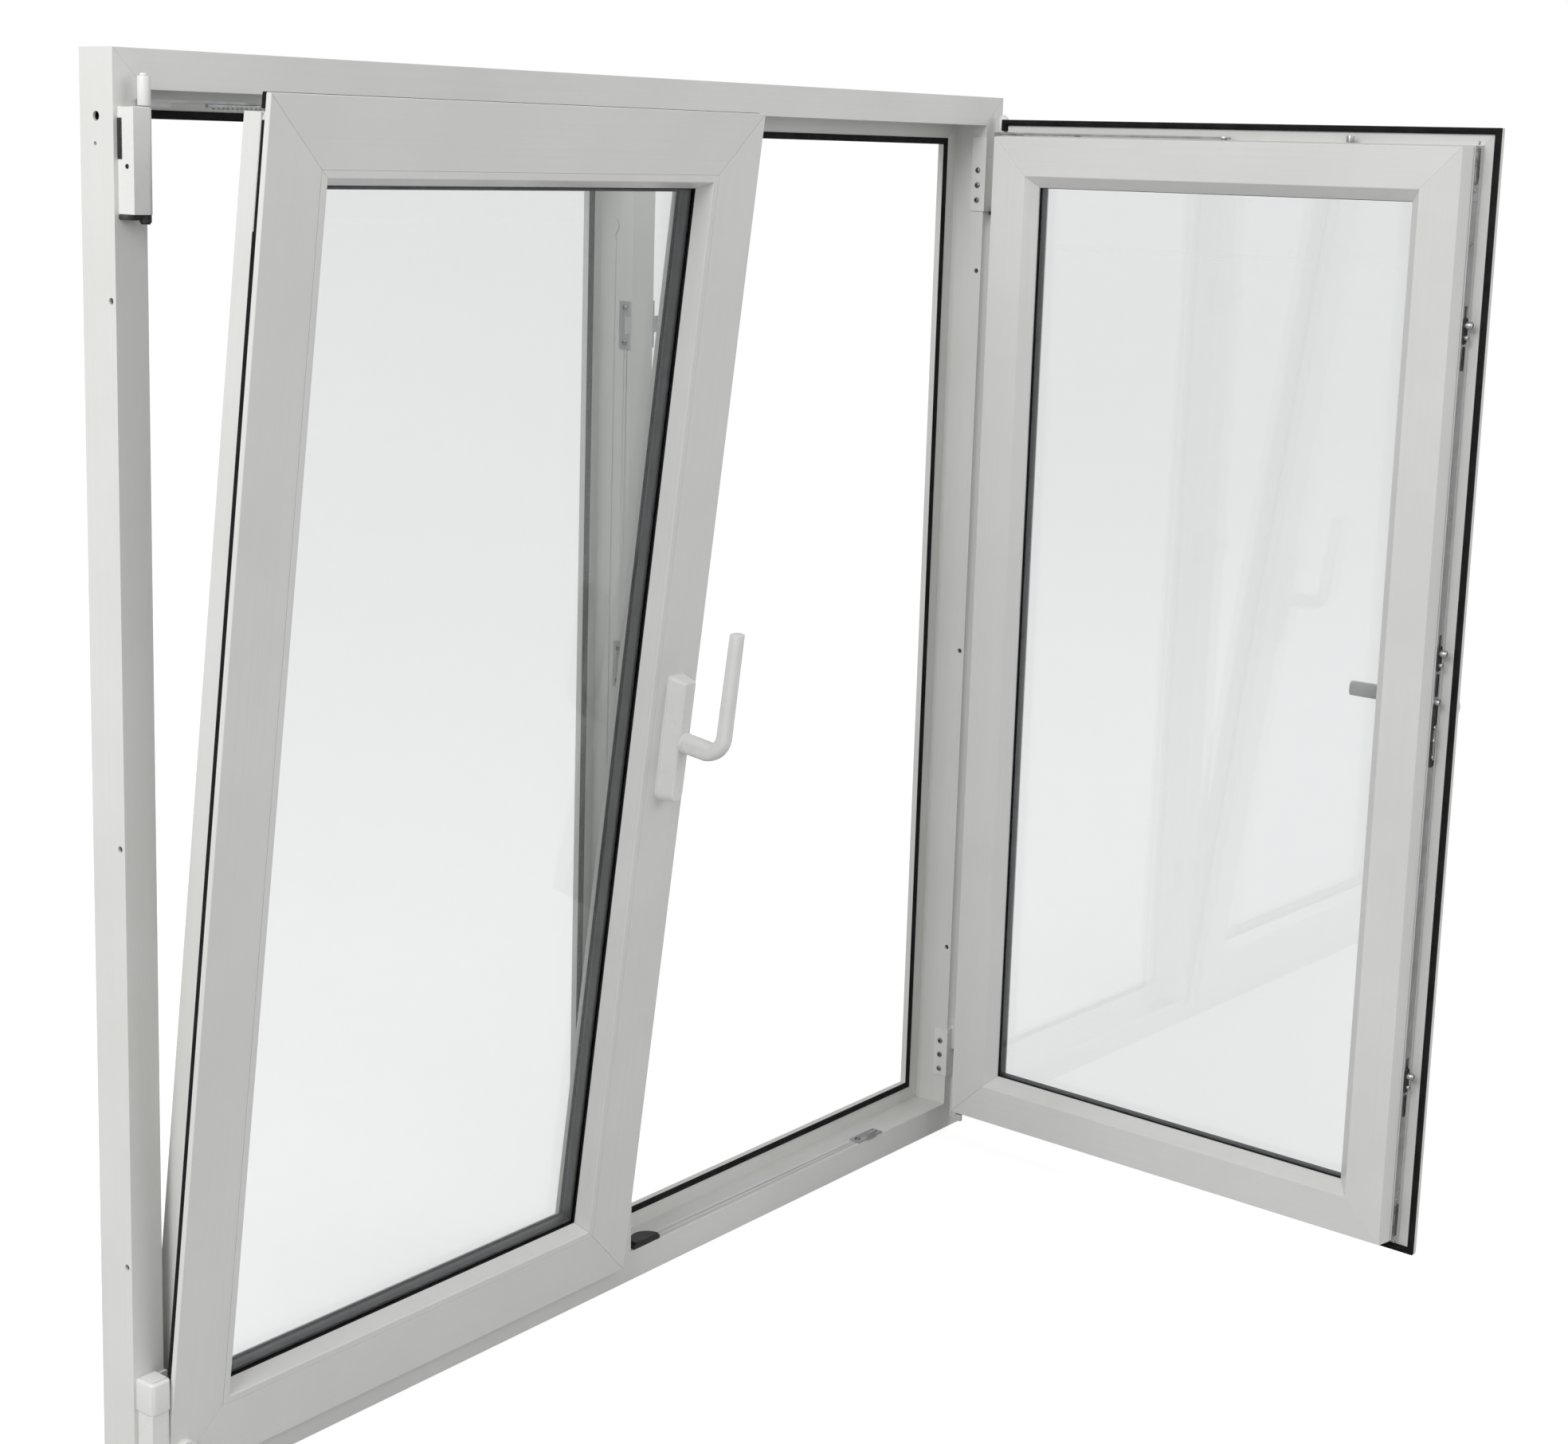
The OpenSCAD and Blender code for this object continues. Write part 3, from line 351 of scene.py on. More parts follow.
class Finish:
    """A material under construction: a Principled shader on Object coordinates."""

    def __init__(self, name, base, roughness, metallic=0.0, specular=0.5):
        self.material = bpy.data.materials.new(name)
        self.material.use_nodes = True
        self.material.diffuse_color = rgba(base)
        self.tree = self.material.node_tree
        self.shader = self.tree.nodes["Principled BSDF"]
        self.shader.inputs["Base Color"].default_value = rgba(base)
        self.shader.inputs["Roughness"].default_value = roughness
        self.shader.inputs["Metallic"].default_value = metallic
        self.shader.inputs["Specular IOR Level"].default_value = specular
        self.base = base
        self.roughness = roughness
        texture = self.tree.nodes.new("ShaderNodeTexCoord")
        self.mapping = self.tree.nodes.new("ShaderNodeMapping")
        self.tree.links.new(texture.outputs["Object"], self.mapping.inputs["Vector"])
        self.vector = self.mapping.outputs["Vector"]
        self.colour = None
        self.rough = None
        self.height = None

    def group(self, name, **values):
        """Places a shared group on the material's vector."""
        node = self.tree.nodes.new("ShaderNodeGroup")
        node.node_tree = GROUPS[name]
        self.tree.links.new(self.vector, node.inputs["Vector"])
        for socket, value in values.items():
            node.inputs[socket].default_value = value
        return node.outputs

    def tint(self, mask, value, share=1.0):
        """Lays a colour over the base where the mask is."""
        mix = self.tree.nodes.new("ShaderNodeMix")
        mix.data_type = "RGBA"
        factor = maths(self.tree, "MULTIPLY", mask, share, clamp=True)
        self.tree.links.new(factor, mix.inputs["Factor"])
        if self.colour is None:
            mix.inputs["A"].default_value = rgba(self.base)
        else:
            self.tree.links.new(self.colour, mix.inputs["A"])
        mix.inputs["B"].default_value = rgba(value)
        self.colour = mix.outputs["Result"]

    def roughen(self, mask, amount):
        """Adds to the roughness where the mask is."""
        added = maths(self.tree, "MULTIPLY", mask, amount)
        start = self.roughness if self.rough is None else self.rough
        self.rough = maths(self.tree, "ADD", added, start, clamp=True)

    def raise_by(self, height, strength, distance=0.0002):
        """Adds a bump from a height."""
        bump = self.tree.nodes.new("ShaderNodeBump")
        bump.inputs["Strength"].default_value = strength
        bump.inputs["Distance"].default_value = distance
        self.tree.links.new(height, bump.inputs["Height"])
        if self.height is not None:
            self.tree.links.new(self.height, bump.inputs["Normal"])
        self.height = bump.outputs["Normal"]

    def done(self):
        """Joins what was laid to the shader and returns the material."""
        for source, socket in ((self.colour, "Base Color"), (self.rough, "Roughness"),
                               (self.height, "Normal")):
            if source is not None:
                self.tree.links.new(source, self.shader.inputs[socket])
        return self.material


def extruded(name, turn):
    """White profile plastic. The turn brings the profile's length onto the pattern's Z."""
    finish = Finish(name, colours().plastic, 0.34)
    finish.mapping.inputs["Rotation"].default_value = [math.radians(a) for a in turn]
    lines = finish.group("lines")
    finish.tint(finish.group("mottle", Scale=5.0)["Mask"], colours().shade, 0.45)
    finish.tint(lines["Mask"], colours().shade, 0.35)
    finish.tint(finish.group("dust", Amount=0.5)["Mask"], colours().dust, 0.22)
    finish.roughen(lines["Mask"], 0.10)
    finish.raise_by(lines["Height"], 0.10, 0.0001)
    finish.raise_by(finish.group("grain", Scale=700.0)["Height"], 0.05, 0.0001)
    return finish.done()


def moulded():
    """Semi-gloss white of handles, caps and coated metal."""
    finish = Finish("moulded white", colours().moulded, 0.27)
    finish.tint(finish.group("mottle", Scale=22.0)["Mask"], colours().shade, 0.2)
    finish.tint(finish.group("rubbed", Amount=0.6)["Mask"], colours().shade, 0.15)
    finish.tint(finish.group("dust", Amount=0.4)["Mask"], colours().dust, 0.04)
    finish.roughen(finish.group("mottle", Scale=60.0)["Mask"], 0.08)
    finish.raise_by(finish.group("grain", Scale=380.0)["Height"], 0.10, 0.0002)
    return finish.done()


def seal_rubber():
    """Matt black seal with a dusty bloom."""
    finish = Finish("seal rubber", colours().rubber, 0.62, specular=0.18)
    finish.tint(finish.group("mottle", Scale=35.0)["Mask"], (0.014, 0.014, 0.015), 0.8)
    finish.tint(finish.group("dust", Amount=0.7)["Mask"], colours().dust, 0.05)
    finish.roughen(finish.group("mottle", Scale=80.0)["Mask"], 0.15)
    finish.raise_by(finish.group("grain", Scale=1100.0)["Height"], 0.25, 0.0002)
    return finish.done()


def black_moulding():
    """Moulded black plastic of the run-up blocks and small lock parts."""
    finish = Finish("black moulding", (0.014, 0.014, 0.015), 0.38)
    finish.tint(finish.group("rubbed", Amount=0.8)["Mask"], (0.10, 0.10, 0.10), 0.7)
    finish.tint(finish.group("dust", Amount=0.6)["Mask"], colours().dust, 0.10)
    finish.roughen(finish.group("mottle", Scale=50.0)["Mask"], 0.18)
    finish.raise_by(finish.group("grain", Scale=900.0)["Height"], 0.2, 0.0002)
    return finish.done()


def plated(name, base, turn):
    """Zinc-plated steel, brushed along its length."""
    finish = Finish(name, base, 0.30, metallic=1.0)
    finish.mapping.inputs["Rotation"].default_value = [math.radians(a) for a in turn]
    lines = finish.group("lines")
    finish.tint(finish.group("mottle", Scale=40.0)["Mask"], (0.42, 0.42, 0.41), 0.5)
    finish.tint(finish.group("rubbed", Amount=0.8)["Mask"], (0.8, 0.8, 0.8), 0.8)
    finish.roughen(finish.group("mottle", Scale=70.0)["Mask"], 0.20)
    finish.roughen(lines["Mask"], 0.10)
    finish.raise_by(lines["Height"], 0.25, 0.0001)
    return finish.done()


def galvanised():
    """Spangled zinc on the tubes inside the profiles."""
    finish = Finish("galvanised", (0.50, 0.52, 0.53), 0.42, metallic=1.0)
    spangle = finish.tree.nodes.new("ShaderNodeTexVoronoi")
    spangle.inputs["Scale"].default_value = 110
    finish.tree.links.new(finish.vector, spangle.inputs["Vector"])
    flakes = ramp(finish.tree, spangle.outputs["Distance"], 0.1, 0.6)
    finish.tint(flakes, (0.36, 0.38, 0.40), 0.6)
    finish.roughen(flakes, 0.2)
    finish.raise_by(finish.group("grain", Scale=300.0)["Height"], 0.15)
    return finish.done()


def spacer_metal():
    """Grey spacer bar with its rows of breathing holes."""
    finish = Finish("spacer bar", (0.12, 0.125, 0.13), 0.5, metallic=1.0)
    holes = finish.tree.nodes.new("ShaderNodeTexVoronoi")
    holes.inputs["Scale"].default_value = 330
    holes.inputs["Randomness"].default_value = 0.0
    finish.tree.links.new(finish.vector, holes.inputs["Vector"])
    dots = maths(finish.tree, "SUBTRACT", 1.0,
                 ramp(finish.tree, holes.outputs["Distance"], 0.16, 0.24))
    finish.tint(finish.group("mottle", Scale=30.0)["Mask"], (0.08, 0.085, 0.09), 0.5)
    finish.tint(dots, (0.04, 0.04, 0.04), 0.5)
    finish.roughen(dots, 0.3)
    finish.raise_by(finish.group("grain", Scale=500.0)["Height"], 0.1)
    return finish.done()


def pane_glass():
    """Clear float glass with a faint haze where it was wiped."""
    finish = Finish("pane glass", colours().glass, 0.0)
    finish.shader.inputs["Transmission Weight"].default_value = 1.0
    finish.shader.inputs["IOR"].default_value = 1.45
    haze = finish.group("mottle", Scale=2.5)["Mask"]
    finish.roughen(haze, 0.012)
    finish.raise_by(haze, 0.02, 0.0005)
    return finish.done()


FINISHES = {}
UPRIGHT = (0, 0, 0)
ACROSS = (0, 90, 0)
INTO_ROOM = (90, 0, 0)


def make_finishes():
    """Builds every finish once."""
    make_groups()
    tilt = -JOINTS["left_tilt"]["range_deg"][0]
    FINISHES.update({
        "upright": extruded("profile upright", UPRIGHT),
        "across": extruded("profile across", ACROSS),
        "tilted": extruded("profile tilted", (-tilt, 0, 0)),
        "open across": extruded("profile open across", INTO_ROOM),
        "moulded": moulded(),
        "rubber": seal_rubber(),
        "black": black_moulding(),
        "steel": plated("plated steel", colours().zinc, UPRIGHT),
        "steel across": plated("plated steel across", colours().zinc, ACROSS),
        "dark steel": plated("dark steel", (0.16, 0.16, 0.165), UPRIGHT),
        "galvanised": galvanised(),
        "spacer": spacer_metal(),
        "glass": pane_glass(),
    })


SASH_FINISHES = {
    "hinge_stile": ("tilted", "upright"), "lock_stile": ("tilted", "upright"),
    "top_rail": ("across", "open across"), "bottom_rail": ("across", "open across"),
    "beads": ("tilted", "upright"), "corner_hinge": ("moulded", "moulded"),
    "glass": ("glass", "glass"), "spacer": ("spacer", "spacer"),
    "glazing_gasket": ("rubber", "rubber"), "sash_gasket": ("rubber", "rubber"),
    "sash_steel": ("galvanised", "galvanised"), "faceplates": ("steel", "steel"),
    "stay_guide": ("steel across", "steel"), "gearbox": ("steel", "steel"),
    "pivot": ("steel", "steel"), "stay_arm": ("steel across", "steel"),
    "spindle": ("steel", "steel"), "drive_rod": ("steel", "steel"),
    "top_rod": ("steel across", "steel"), "bottom_rod": ("steel across", "steel"),
    "handle": ("moulded", "moulded"), "handle_base": ("moulded", "moulded"),
}
FRAME_FINISHES = {
    "left_jamb": "upright", "right_jamb": "upright", "mullion": "upright",
    "mullion_strips": "upright", "head": "across", "sill": "across",
    "frame_gaskets": "rubber", "frame_steel": "galvanised", "mullion_brackets": "galvanised",
    "keeps": "steel", "runup_blocks": "black", "stay_bearings": "moulded",
    "corner_bearings": "moulded", "hinge_covers": "moulded", "fitting_screws": "steel",
}
PROFILES = ("jamb", "head", "sill", "mullion", "stile", "rail")
SHARP = ("glass", "spacer", "steel", "brackets", "gearbox", "spindle")


def dress(piece, finish):
    """Gives a piece one material."""
    piece.data.materials.clear()
    piece.data.materials.append(FINISHES[finish])


def soften(piece, width, segments=3):
    """Rounds the sharp edges of a loose-triangle mesh."""
    weld = piece.modifiers.new("Weld", "WELD")
    weld.merge_threshold = CLOSE
    if "lock_stile" in piece.name:
        # Long thin triangles round the bores would show as lines, so flat faces are merged.
        flat = piece.modifiers.new("Flat faces", "DECIMATE")
        flat.decimate_type = "DISSOLVE"
        flat.angle_limit = math.radians(1)
    bevel = piece.modifiers.new("Soft edges", "BEVEL")
    bevel.width = width
    bevel.segments = segments
    bevel.limit_method = "ANGLE"
    bevel.angle_limit = math.radians(35)


# ---------- modelling ----------


def clear_selection():
    """Leaves edit mode and selects nothing."""
    if bpy.context.object and bpy.context.object.mode != "OBJECT":
        bpy.ops.object.mode_set(mode="OBJECT")
    bpy.ops.object.select_all(action="DESELECT")


def apply_all():
    """Puts the selected pieces' place, turn and size into their meshes."""
    bpy.ops.object.transform_apply(location=True, rotation=True, scale=True)


def block(name, low, high):
    """A block between two corners, to be shaped further."""
    clear_selection()
    low, high = Vector(low), Vector(high)
    bpy.ops.mesh.primitive_cube_add(size=1, location=(low + high) / 2)
    piece = bpy.context.object
    piece.name = name
    piece.scale = high - low
    apply_all()
    return piece


def disc(name, radius, depth, centre, along, sides=32):
    """A short cylinder along an axis, to be shaped further."""
    clear_selection()
    turn = {"X": (0, math.pi / 2, 0), "Y": (math.pi / 2, 0, 0), "Z": (0, 0, 0)}[along]
    bpy.ops.mesh.primitive_cylinder_add(
        vertices=sides, radius=radius, depth=depth, location=centre, rotation=turn)
    piece = bpy.context.object
    piece.name = name
    apply_all()
    return piece


def choose(piece, kind, test):
    """Enters edit mode with only those vertices, edges or polygons selected."""
    if bpy.context.object.mode != "OBJECT":
        bpy.ops.object.mode_set(mode="OBJECT")
    mesh = piece.data
    for parts in (mesh.vertices, mesh.edges, mesh.polygons):
        parts.foreach_set("select", [False] * len(parts))
    for part in getattr(mesh, kind):
        part.select = bool(test(part))
    names = ("vertices", "edges", "polygons")
    bpy.context.tool_settings.mesh_select_mode = [kind == name for name in names]
    bpy.ops.object.mode_set(mode="EDIT")


def ends_of(piece, edge):
    """The two ends of an edge."""
    points = piece.data.vertices
    return points[edge.vertices[0]].co, points[edge.vertices[1]].co


def runs_along(piece, edge, axis):
    """Whether an edge lies along an axis, 0 to 2."""
    first, second = ends_of(piece, edge)
    way = (second - first).normalized()
    return abs(way[axis]) > 0.99


def ends_at(piece, edge, axis, place):
    """Whether both ends of an edge lie at one place on an axis, 0 to 2."""
    return all(abs(end[axis] - place) < CLOSE for end in ends_of(piece, edge))


def facing(normal, way):
    """Whether a normal looks one way."""
    return normal.dot(Vector(way)) > 0.95


def round_edges(piece, width, segments, test):
    """Bevels the edges that pass a test."""
    choose(piece, "edges", test)
    bpy.ops.mesh.bevel(offset=width, segments=segments, affect="EDGES")
    bpy.ops.object.mode_set(mode="OBJECT")


def round_ends(piece, width, segments, axis):
    """Bevels the edges that don't lie along an axis, 0 to 2."""
    round_edges(piece, width, segments, lambda edge: not runs_along(piece, edge, axis))


def round_corners(piece, width, segments, axis):
    """Bevels the edges that lie along an axis, 0 to 2."""
    round_edges(piece, width, segments, lambda edge: runs_along(piece, edge, axis))


def rim(piece, way, inset, rise):
    """Insets the faces that look one way, and raises or sinks what is inside."""
    choose(piece, "polygons", lambda face: facing(face.normal, way))
    bpy.ops.mesh.inset(thickness=inset, depth=0)
    move = Vector(way) * rise
    bpy.ops.mesh.extrude_region_move(TRANSFORM_OT_translate={"value": move})
    bpy.ops.object.mode_set(mode="OBJECT")


def shrink_selected(middle, matrix):
    """Squeezes the selected ring about its middle by a 3 x 3 matrix."""
    mesh = bpy.context.object.data
    bpy.ops.object.mode_set(mode="OBJECT")
    for point in mesh.vertices:
        if point.select:
            point.co = middle + matrix @ (point.co - middle)
    bpy.ops.object.mode_set(mode="EDIT")


def join(name, pieces):
    """Joins pieces into one, which keeps the first one's material."""
    clear_selection()
    for piece in pieces:
        piece.select_set(True)
    bpy.context.view_layer.objects.active = pieces[0]
    if len(pieces) > 1:
        bpy.ops.object.join()
    pieces[0].name = name
    return pieces[0]


def copy_to(piece, places):
    """One copy of a piece, with its own mesh, for each matrix. The piece itself goes."""
    copies = []
    for place in places:
        twin = piece.copy()
        twin.data = piece.data.copy()
        bpy.context.scene.collection.objects.link(twin)
        twin.data.transform(place)
        copies.append(twin)
    bpy.data.objects.remove(piece)
    return copies


def finish_piece(piece, place, body, finish, smooth=35):
    """Carries a piece to its place, closes and smooths it, and puts it on its body."""
    clear_selection()
    piece.select_set(True)
    bpy.context.view_layer.objects.active = piece
    piece.matrix_world = place
    apply_all()
    bpy.ops.object.mode_set(mode="EDIT")
    bpy.ops.mesh.select_all(action="SELECT")
    bpy.ops.mesh.remove_doubles(threshold=0.001 * MM)
    bpy.ops.mesh.normals_make_consistent(inside=False)
    bpy.ops.object.mode_set(mode="OBJECT")
    bpy.ops.object.shade_smooth_by_angle(angle=math.radians(smooth))
    dress(piece, finish)
    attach(piece, body)
    return piece


# ---------- handles ----------


def lever(side):
    """A lever drawn pointing down: a tall neck, a wide elbow and a grip cut flat at its tip."""
    s = sizes()
    front = SPINDLE.y - s.base_depth
    neck = s.lever_reach - s.base_depth - s.bend
    clear_selection()
    bpy.ops.mesh.primitive_plane_add(
        size=1, location=(SPINDLE.x, front, SPINDLE.z), rotation=(math.pi / 2, 0, 0))
    piece = bpy.context.object
    piece.scale = (s.lever_width, s.neck_height, 1)
    apply_all()
    bpy.ops.object.mode_set(mode="EDIT")
    bpy.ops.mesh.select_all(action="SELECT")
    bpy.ops.mesh.bevel(offset=0.42 * s.lever_width, segments=8, affect="VERTICES")
    bpy.ops.mesh.select_all(action="SELECT")
    bpy.ops.mesh.extrude_region_move(TRANSFORM_OT_translate={"value": (0, -neck, 0)})
    elbow = Vector((SPINDLE.x, front - neck, SPINDLE.z - s.bend))
    steps = 14
    slimmer = (s.lever_depth / s.neck_height) ** (1 / steps)
    for step in range(steps):
        bpy.ops.mesh.spin(steps=1, angle=-math.pi / 2 / steps, center=elbow, axis=(1, 0, 0))
        angle = math.pi / 2 * (step + 1) / steps
        out = Vector((0, -math.sin(angle), math.cos(angle)))
        middle = elbow + s.bend * out
        thin = Matrix.Scale(slimmer, 3, out)
        shrink_selected(middle, thin)
    grip = s.lever_length - s.bend
    lengths = 5
    for _ in range(lengths):
        drop = Vector((0, 0, -grip / lengths))
        bpy.ops.mesh.extrude_region_move(TRANSFORM_OT_translate={"value": drop})
        bpy.ops.transform.resize(
            value=(0.985, 0.985, 1), center_override=elbow + Vector((0, -s.bend, 0)))
    bpy.ops.object.mode_set(mode="OBJECT")
    tip = min(vertex.co.z for vertex in piece.data.vertices)
    round_edges(piece, 0.7 * MM, 3, lambda edge: ends_at(piece, edge, 2, tip))
    collar = disc("collar", 11.8 * MM, 4 * MM, (SPINDLE.x, front - 2.3 * MM, SPINDLE.z), "Y", 48)
    rim(collar, (0, -1, 0), 0.8 * MM, 0.6 * MM)
    round_ends(collar, 0.4 * MM, 2, 1)
    piece = join(side + "_lever", [piece, collar])
    finish_piece(piece, on_handle(side), side + "_lever", "moulded")
    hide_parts(side + "_handle")


def handle_base(side):
    """A tall base, square at its head and round at its foot, with sides that lean in."""
    s = sizes()
    foot_rim = 2.5 * MM
    half = Vector((s.base_width / 2, 0, s.base_length / 2))
    piece = block("base", SPINDLE - half - Vector((0, foot_rim, 0)), SPINDLE + half)
    foot, top = SPINDLE.z - half.z, SPINDLE.z + half.z
    for place, radius, segments in ((foot, 13 * MM, 10), (top, 5 * MM, 5)):
        round_edges(piece, radius, segments, lambda edge: runs_along(
            piece, edge, 1) and ends_at(piece, edge, 2, place))
    rim(piece, (0, -1, 0), 0.5 * MM, s.base_depth - foot_rim)
    front = SPINDLE.y - s.base_depth
    choose(piece, "polygons", lambda face: facing(
        face.normal, (0, -1, 0)) and abs(face.center.y - front) < CLOSE)
    narrow = 1 - 2 * s.base_slant / s.base_width
    short = 1 - 1.2 * s.base_slant / s.base_length
    bpy.ops.transform.resize(value=(narrow, 1, short), center_override=SPINDLE)
    bpy.ops.object.mode_set(mode="OBJECT")
    round_edges(piece, 2.2 * MM, 5, lambda edge: ends_at(piece, edge, 1, front))
    finish_piece(piece, ON_SASH[side], side + "_sash", "moulded")
    piece.name = side + "_base_cover"
    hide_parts(side + "_handle_base")


# ---------- screws ----------


def screw_head():
    """A flat screw head that looks along +Z, with a round, tapered drive recess."""
    radius = sizes().screw_head
    head = disc("head", radius, 1.4 * MM, (0, 0, 0.7 * MM), "Z", 24)
    round_edges(head, 0.5 * MM, 3, lambda edge: all(
        end.z > 1.3 * MM for end in ends_of(head, edge)))
    choose(head, "polygons", lambda face: facing(face.normal, (0, 0, 1)))
    bpy.ops.mesh.inset(thickness=0.45 * radius, depth=0)
    bpy.ops.mesh.extrude_region_move(TRANSFORM_OT_translate={"value": (0, 0, -1.0 * MM)})
    bpy.ops.transform.resize(value=(0.82, 0.82, 1), center_override=(0, 0, 0.4 * MM))
    bpy.ops.object.mode_set(mode="OBJECT")
    return head


def screw_places():
    """Where each fitting screw's head sits on the left half, looking off its plate."""
    off_jamb = Matrix.Rotation(math.pi / 2, 4, "Y")
    off_mullion = Matrix.Rotation(-math.pi / 2, 4, "Y")
    leaf = RIDGE + 2.5 * MM
    leaf_depth = ROOM_FACE + 9 * MM
    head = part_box("head")[1].z
    for height in LEAF_SCREWS:
        yield Matrix.Translation((leaf, leaf_depth, height)) @ off_jamb
    for drop in STAY_LEAF_DROPS:
        yield Matrix.Translation((leaf, leaf_depth, head - drop)) @ off_jamb
    keep = KEEP_THICKNESS
    for way in (-KEEP_SCREW_SPREAD, KEEP_SCREW_SPREAD):
        for height in LOCK_POINTS:
            yield Matrix.Translation((-18 * MM - keep, GROOVE, height + way)) @ off_mullion
        top = Matrix.Translation((-170 * MM + way, GROOVE, head - FRAME_FACE - keep))
        yield top @ Matrix.Rotation(math.pi, 4, "X")
        yield Matrix.Translation((-502 * MM + way, GROOVE, FRAME_FACE + keep))


def screws():
    """All the screws that hold the frame's fittings."""
    heads = []
    for side in SIDES:
        places = [ON_FRAME[side] @ place for place in screw_places()]
        heads += copy_to(screw_head(), places)
    piece = join("screw_heads", heads)
    finish_piece(piece, Matrix.Identity(4), "frame", "dark steel", 30)
    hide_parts("fitting_screws")


# ---------- hinge caps ----------


def cap(name, low, high, corner, edge):
    """A cap with round upright corners and soft ends, round towards the room."""
    piece = block(name, low, high)
    round_edges(piece, corner, 8, lambda edge_: runs_along(piece, edge_, 2) and all(
        end.y < low[1] + CLOSE for end in ends_of(piece, edge_)))
    back = high[1]
    round_edges(piece, edge, 4, lambda edge_: not runs_along(piece, edge_, 2) and any(
        end.y < back - CLOSE for end in ends_of(piece, edge_)))
    return piece


def hinge_caps(side):
    """The knob over the lower bearing, a black disc and strip under the upper bearing, and black
    painted shade for a screw hole and for the gap at the cover's side.
    """
    x, y = HINGE_AXIS.x, HINGE_AXIS.y
    reach = 6.2 * MM
    knob = cap("knob", (x - 18.5 * MM, y - 7.6 * MM, 113 * MM),
               (x + reach, ROOM_FACE, 147 * MM), 6.0 * MM, 3.2 * MM)
    rim(knob, (0, 0, 1), 2.2 * MM, 0.8 * MM)
    finish_piece(knob, ON_FRAME[side], "frame", "moulded")
    knob.name = side + "_lower_knob"

    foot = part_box("stay_bearings")[0].z
    # A black disc and a black strip at the foot of the upper bearing.
    bush = disc("bush", 5.4 * MM, 7 * MM, (x, y, foot - 3.5 * MM), "Z", 40)
    rim(bush, (0, 0, -1), 1.0 * MM, 1.5 * MM)
    web = block("web", (x - 17 * MM, y - 1 * MM, foot - 5 * MM), (x, ROOM_FACE, foot))
    round_corners(web, 1.5 * MM, 3, 1)
    # Painted shade: a black disc stands in for the dark inside of the cover's screw hole.
    socket = disc("socket", 2.1 * MM, 1.0 * MM, (x - 17 * MM, y + 3 * MM, foot + 42 * MM), "X", 24)
    rim(socket, (-1, 0, 0), 0.5 * MM, -0.4 * MM)
    # Painted shade: a thin black strip stands in for the shaded gap between the cover and the
    # jamb.
    slot = block("slot", (x - 17.6 * MM, y + 10 * MM, foot + 48 * MM),
                 (x - 16.4 * MM, ROOM_FACE, foot + 84 * MM))
    round_ends(slot, 0.5 * MM, 2, 0)
    # One black piece: the disc and strip under the bearing, with the painted shade of the screw
    # hole and of the side gap.
    dark = join(side + "_bearing_bush", [bush, web, socket, slot])
    finish_piece(dark, ON_FRAME[side], "frame", "black")


def stay_trim(side):
    """The white sleeve over the stay's eye and the ribbed slider near its bend."""
    x, y = HINGE_AXIS.x, HINGE_AXIS.y
    low, high = STAY_EYE + 0.6 * MM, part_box(side + "_stay_arm")[1].z + 0.4 * MM
    sleeve = disc("sleeve", 5.9 * MM, high - low, (x, y, (low + high) / 2), "Z", 40)
    round_ends(sleeve, 0.8 * MM, 3, 2)
    top = disc("top", 3.6 * MM, 2.6 * MM, (x, y, high + 1.2 * MM), "Z", 32)
    round_ends(top, 1.0 * MM, 3, 2)
    piece = join(side + "_stay_sleeve", [sleeve, top])
    finish_piece(piece, on_stay(side), side + "_stay", "moulded")

    arm = ARM_UNDERSIDE
    start, count, pitch = x + 66 * MM, 14, 4.2 * MM
    ribs = [block("rail", (start - 6 * MM, GROOVE - 7 * MM, arm - 3.2 * MM),
                  (start + count * pitch + 4 * MM, GROOVE + 7 * MM, arm - 0.05 * MM))]
    round_corners(ribs[0], 0.8 * MM, 3, 0)
    for index in range(count):
        left = start + index * pitch
        rib = block("rib", (left, GROOVE - 7.6 * MM, arm - 4.6 * MM),
                    (left + 2.0 * MM, GROOVE + 7.6 * MM, arm - 0.3 * MM))
        round_ends(rib, 0.5 * MM, 2, 2)
        ribs.append(rib)
    slider = join(side + "_stay_slider", ribs)
    finish_piece(slider, on_stay(side), side + "_stay", "steel across")


# ---------- lock edge ----------


def lock_points(side):
    """Dark carriers under the cams, each with a second small roller."""
    dark, bright = [], []
    face = LOCK_SIDE
    for height in LOCK_POINTS:
        plate = block("plate", (face - 0.3 * MM, GROOVE - 5.6 * MM, height - 21 * MM),
                      (face + 0.9 * MM, GROOVE + 5.6 * MM, height + 9 * MM))
        round_corners(plate, 4.6 * MM, 6, 0)
        rim(plate, (1, 0, 0), 1.2 * MM, -0.4 * MM)
        dark.append(plate)
        tail = block("tail", (face - 0.3 * MM, GROOVE - 3 * MM, height - 52 * MM),
                     (face + 0.7 * MM, GROOVE + 3 * MM, height - 24 * MM))
        round_corners(tail, 2.6 * MM, 5, 0)
        rim(tail, (1, 0, 0), 1.0 * MM, -0.4 * MM)
        dark.append(tail)
        for centre, radius, tall in (
                (height, 3.7 * MM, 9.2 * MM), (height - 14 * MM, 3.2 * MM, 5 * MM)):
            roller = disc("roller", radius, tall, (face + tall / 2, GROOVE, centre), "X", 28)
            round_ends(roller, 0.6 * MM, 3, 0)
            rim(roller, (1, 0, 0), 1.3 * MM, -0.5 * MM)
            bright.append(roller)
    place = on_rod(side, (0, 0, 1))
    carriers = join(side + "_cam_carriers", dark)
    finish_piece(carriers, place, side + "_drive", "black")
    rollers = join(side + "_cam_rollers", bright)
    finish_piece(rollers, place, side + "_drive", "steel")


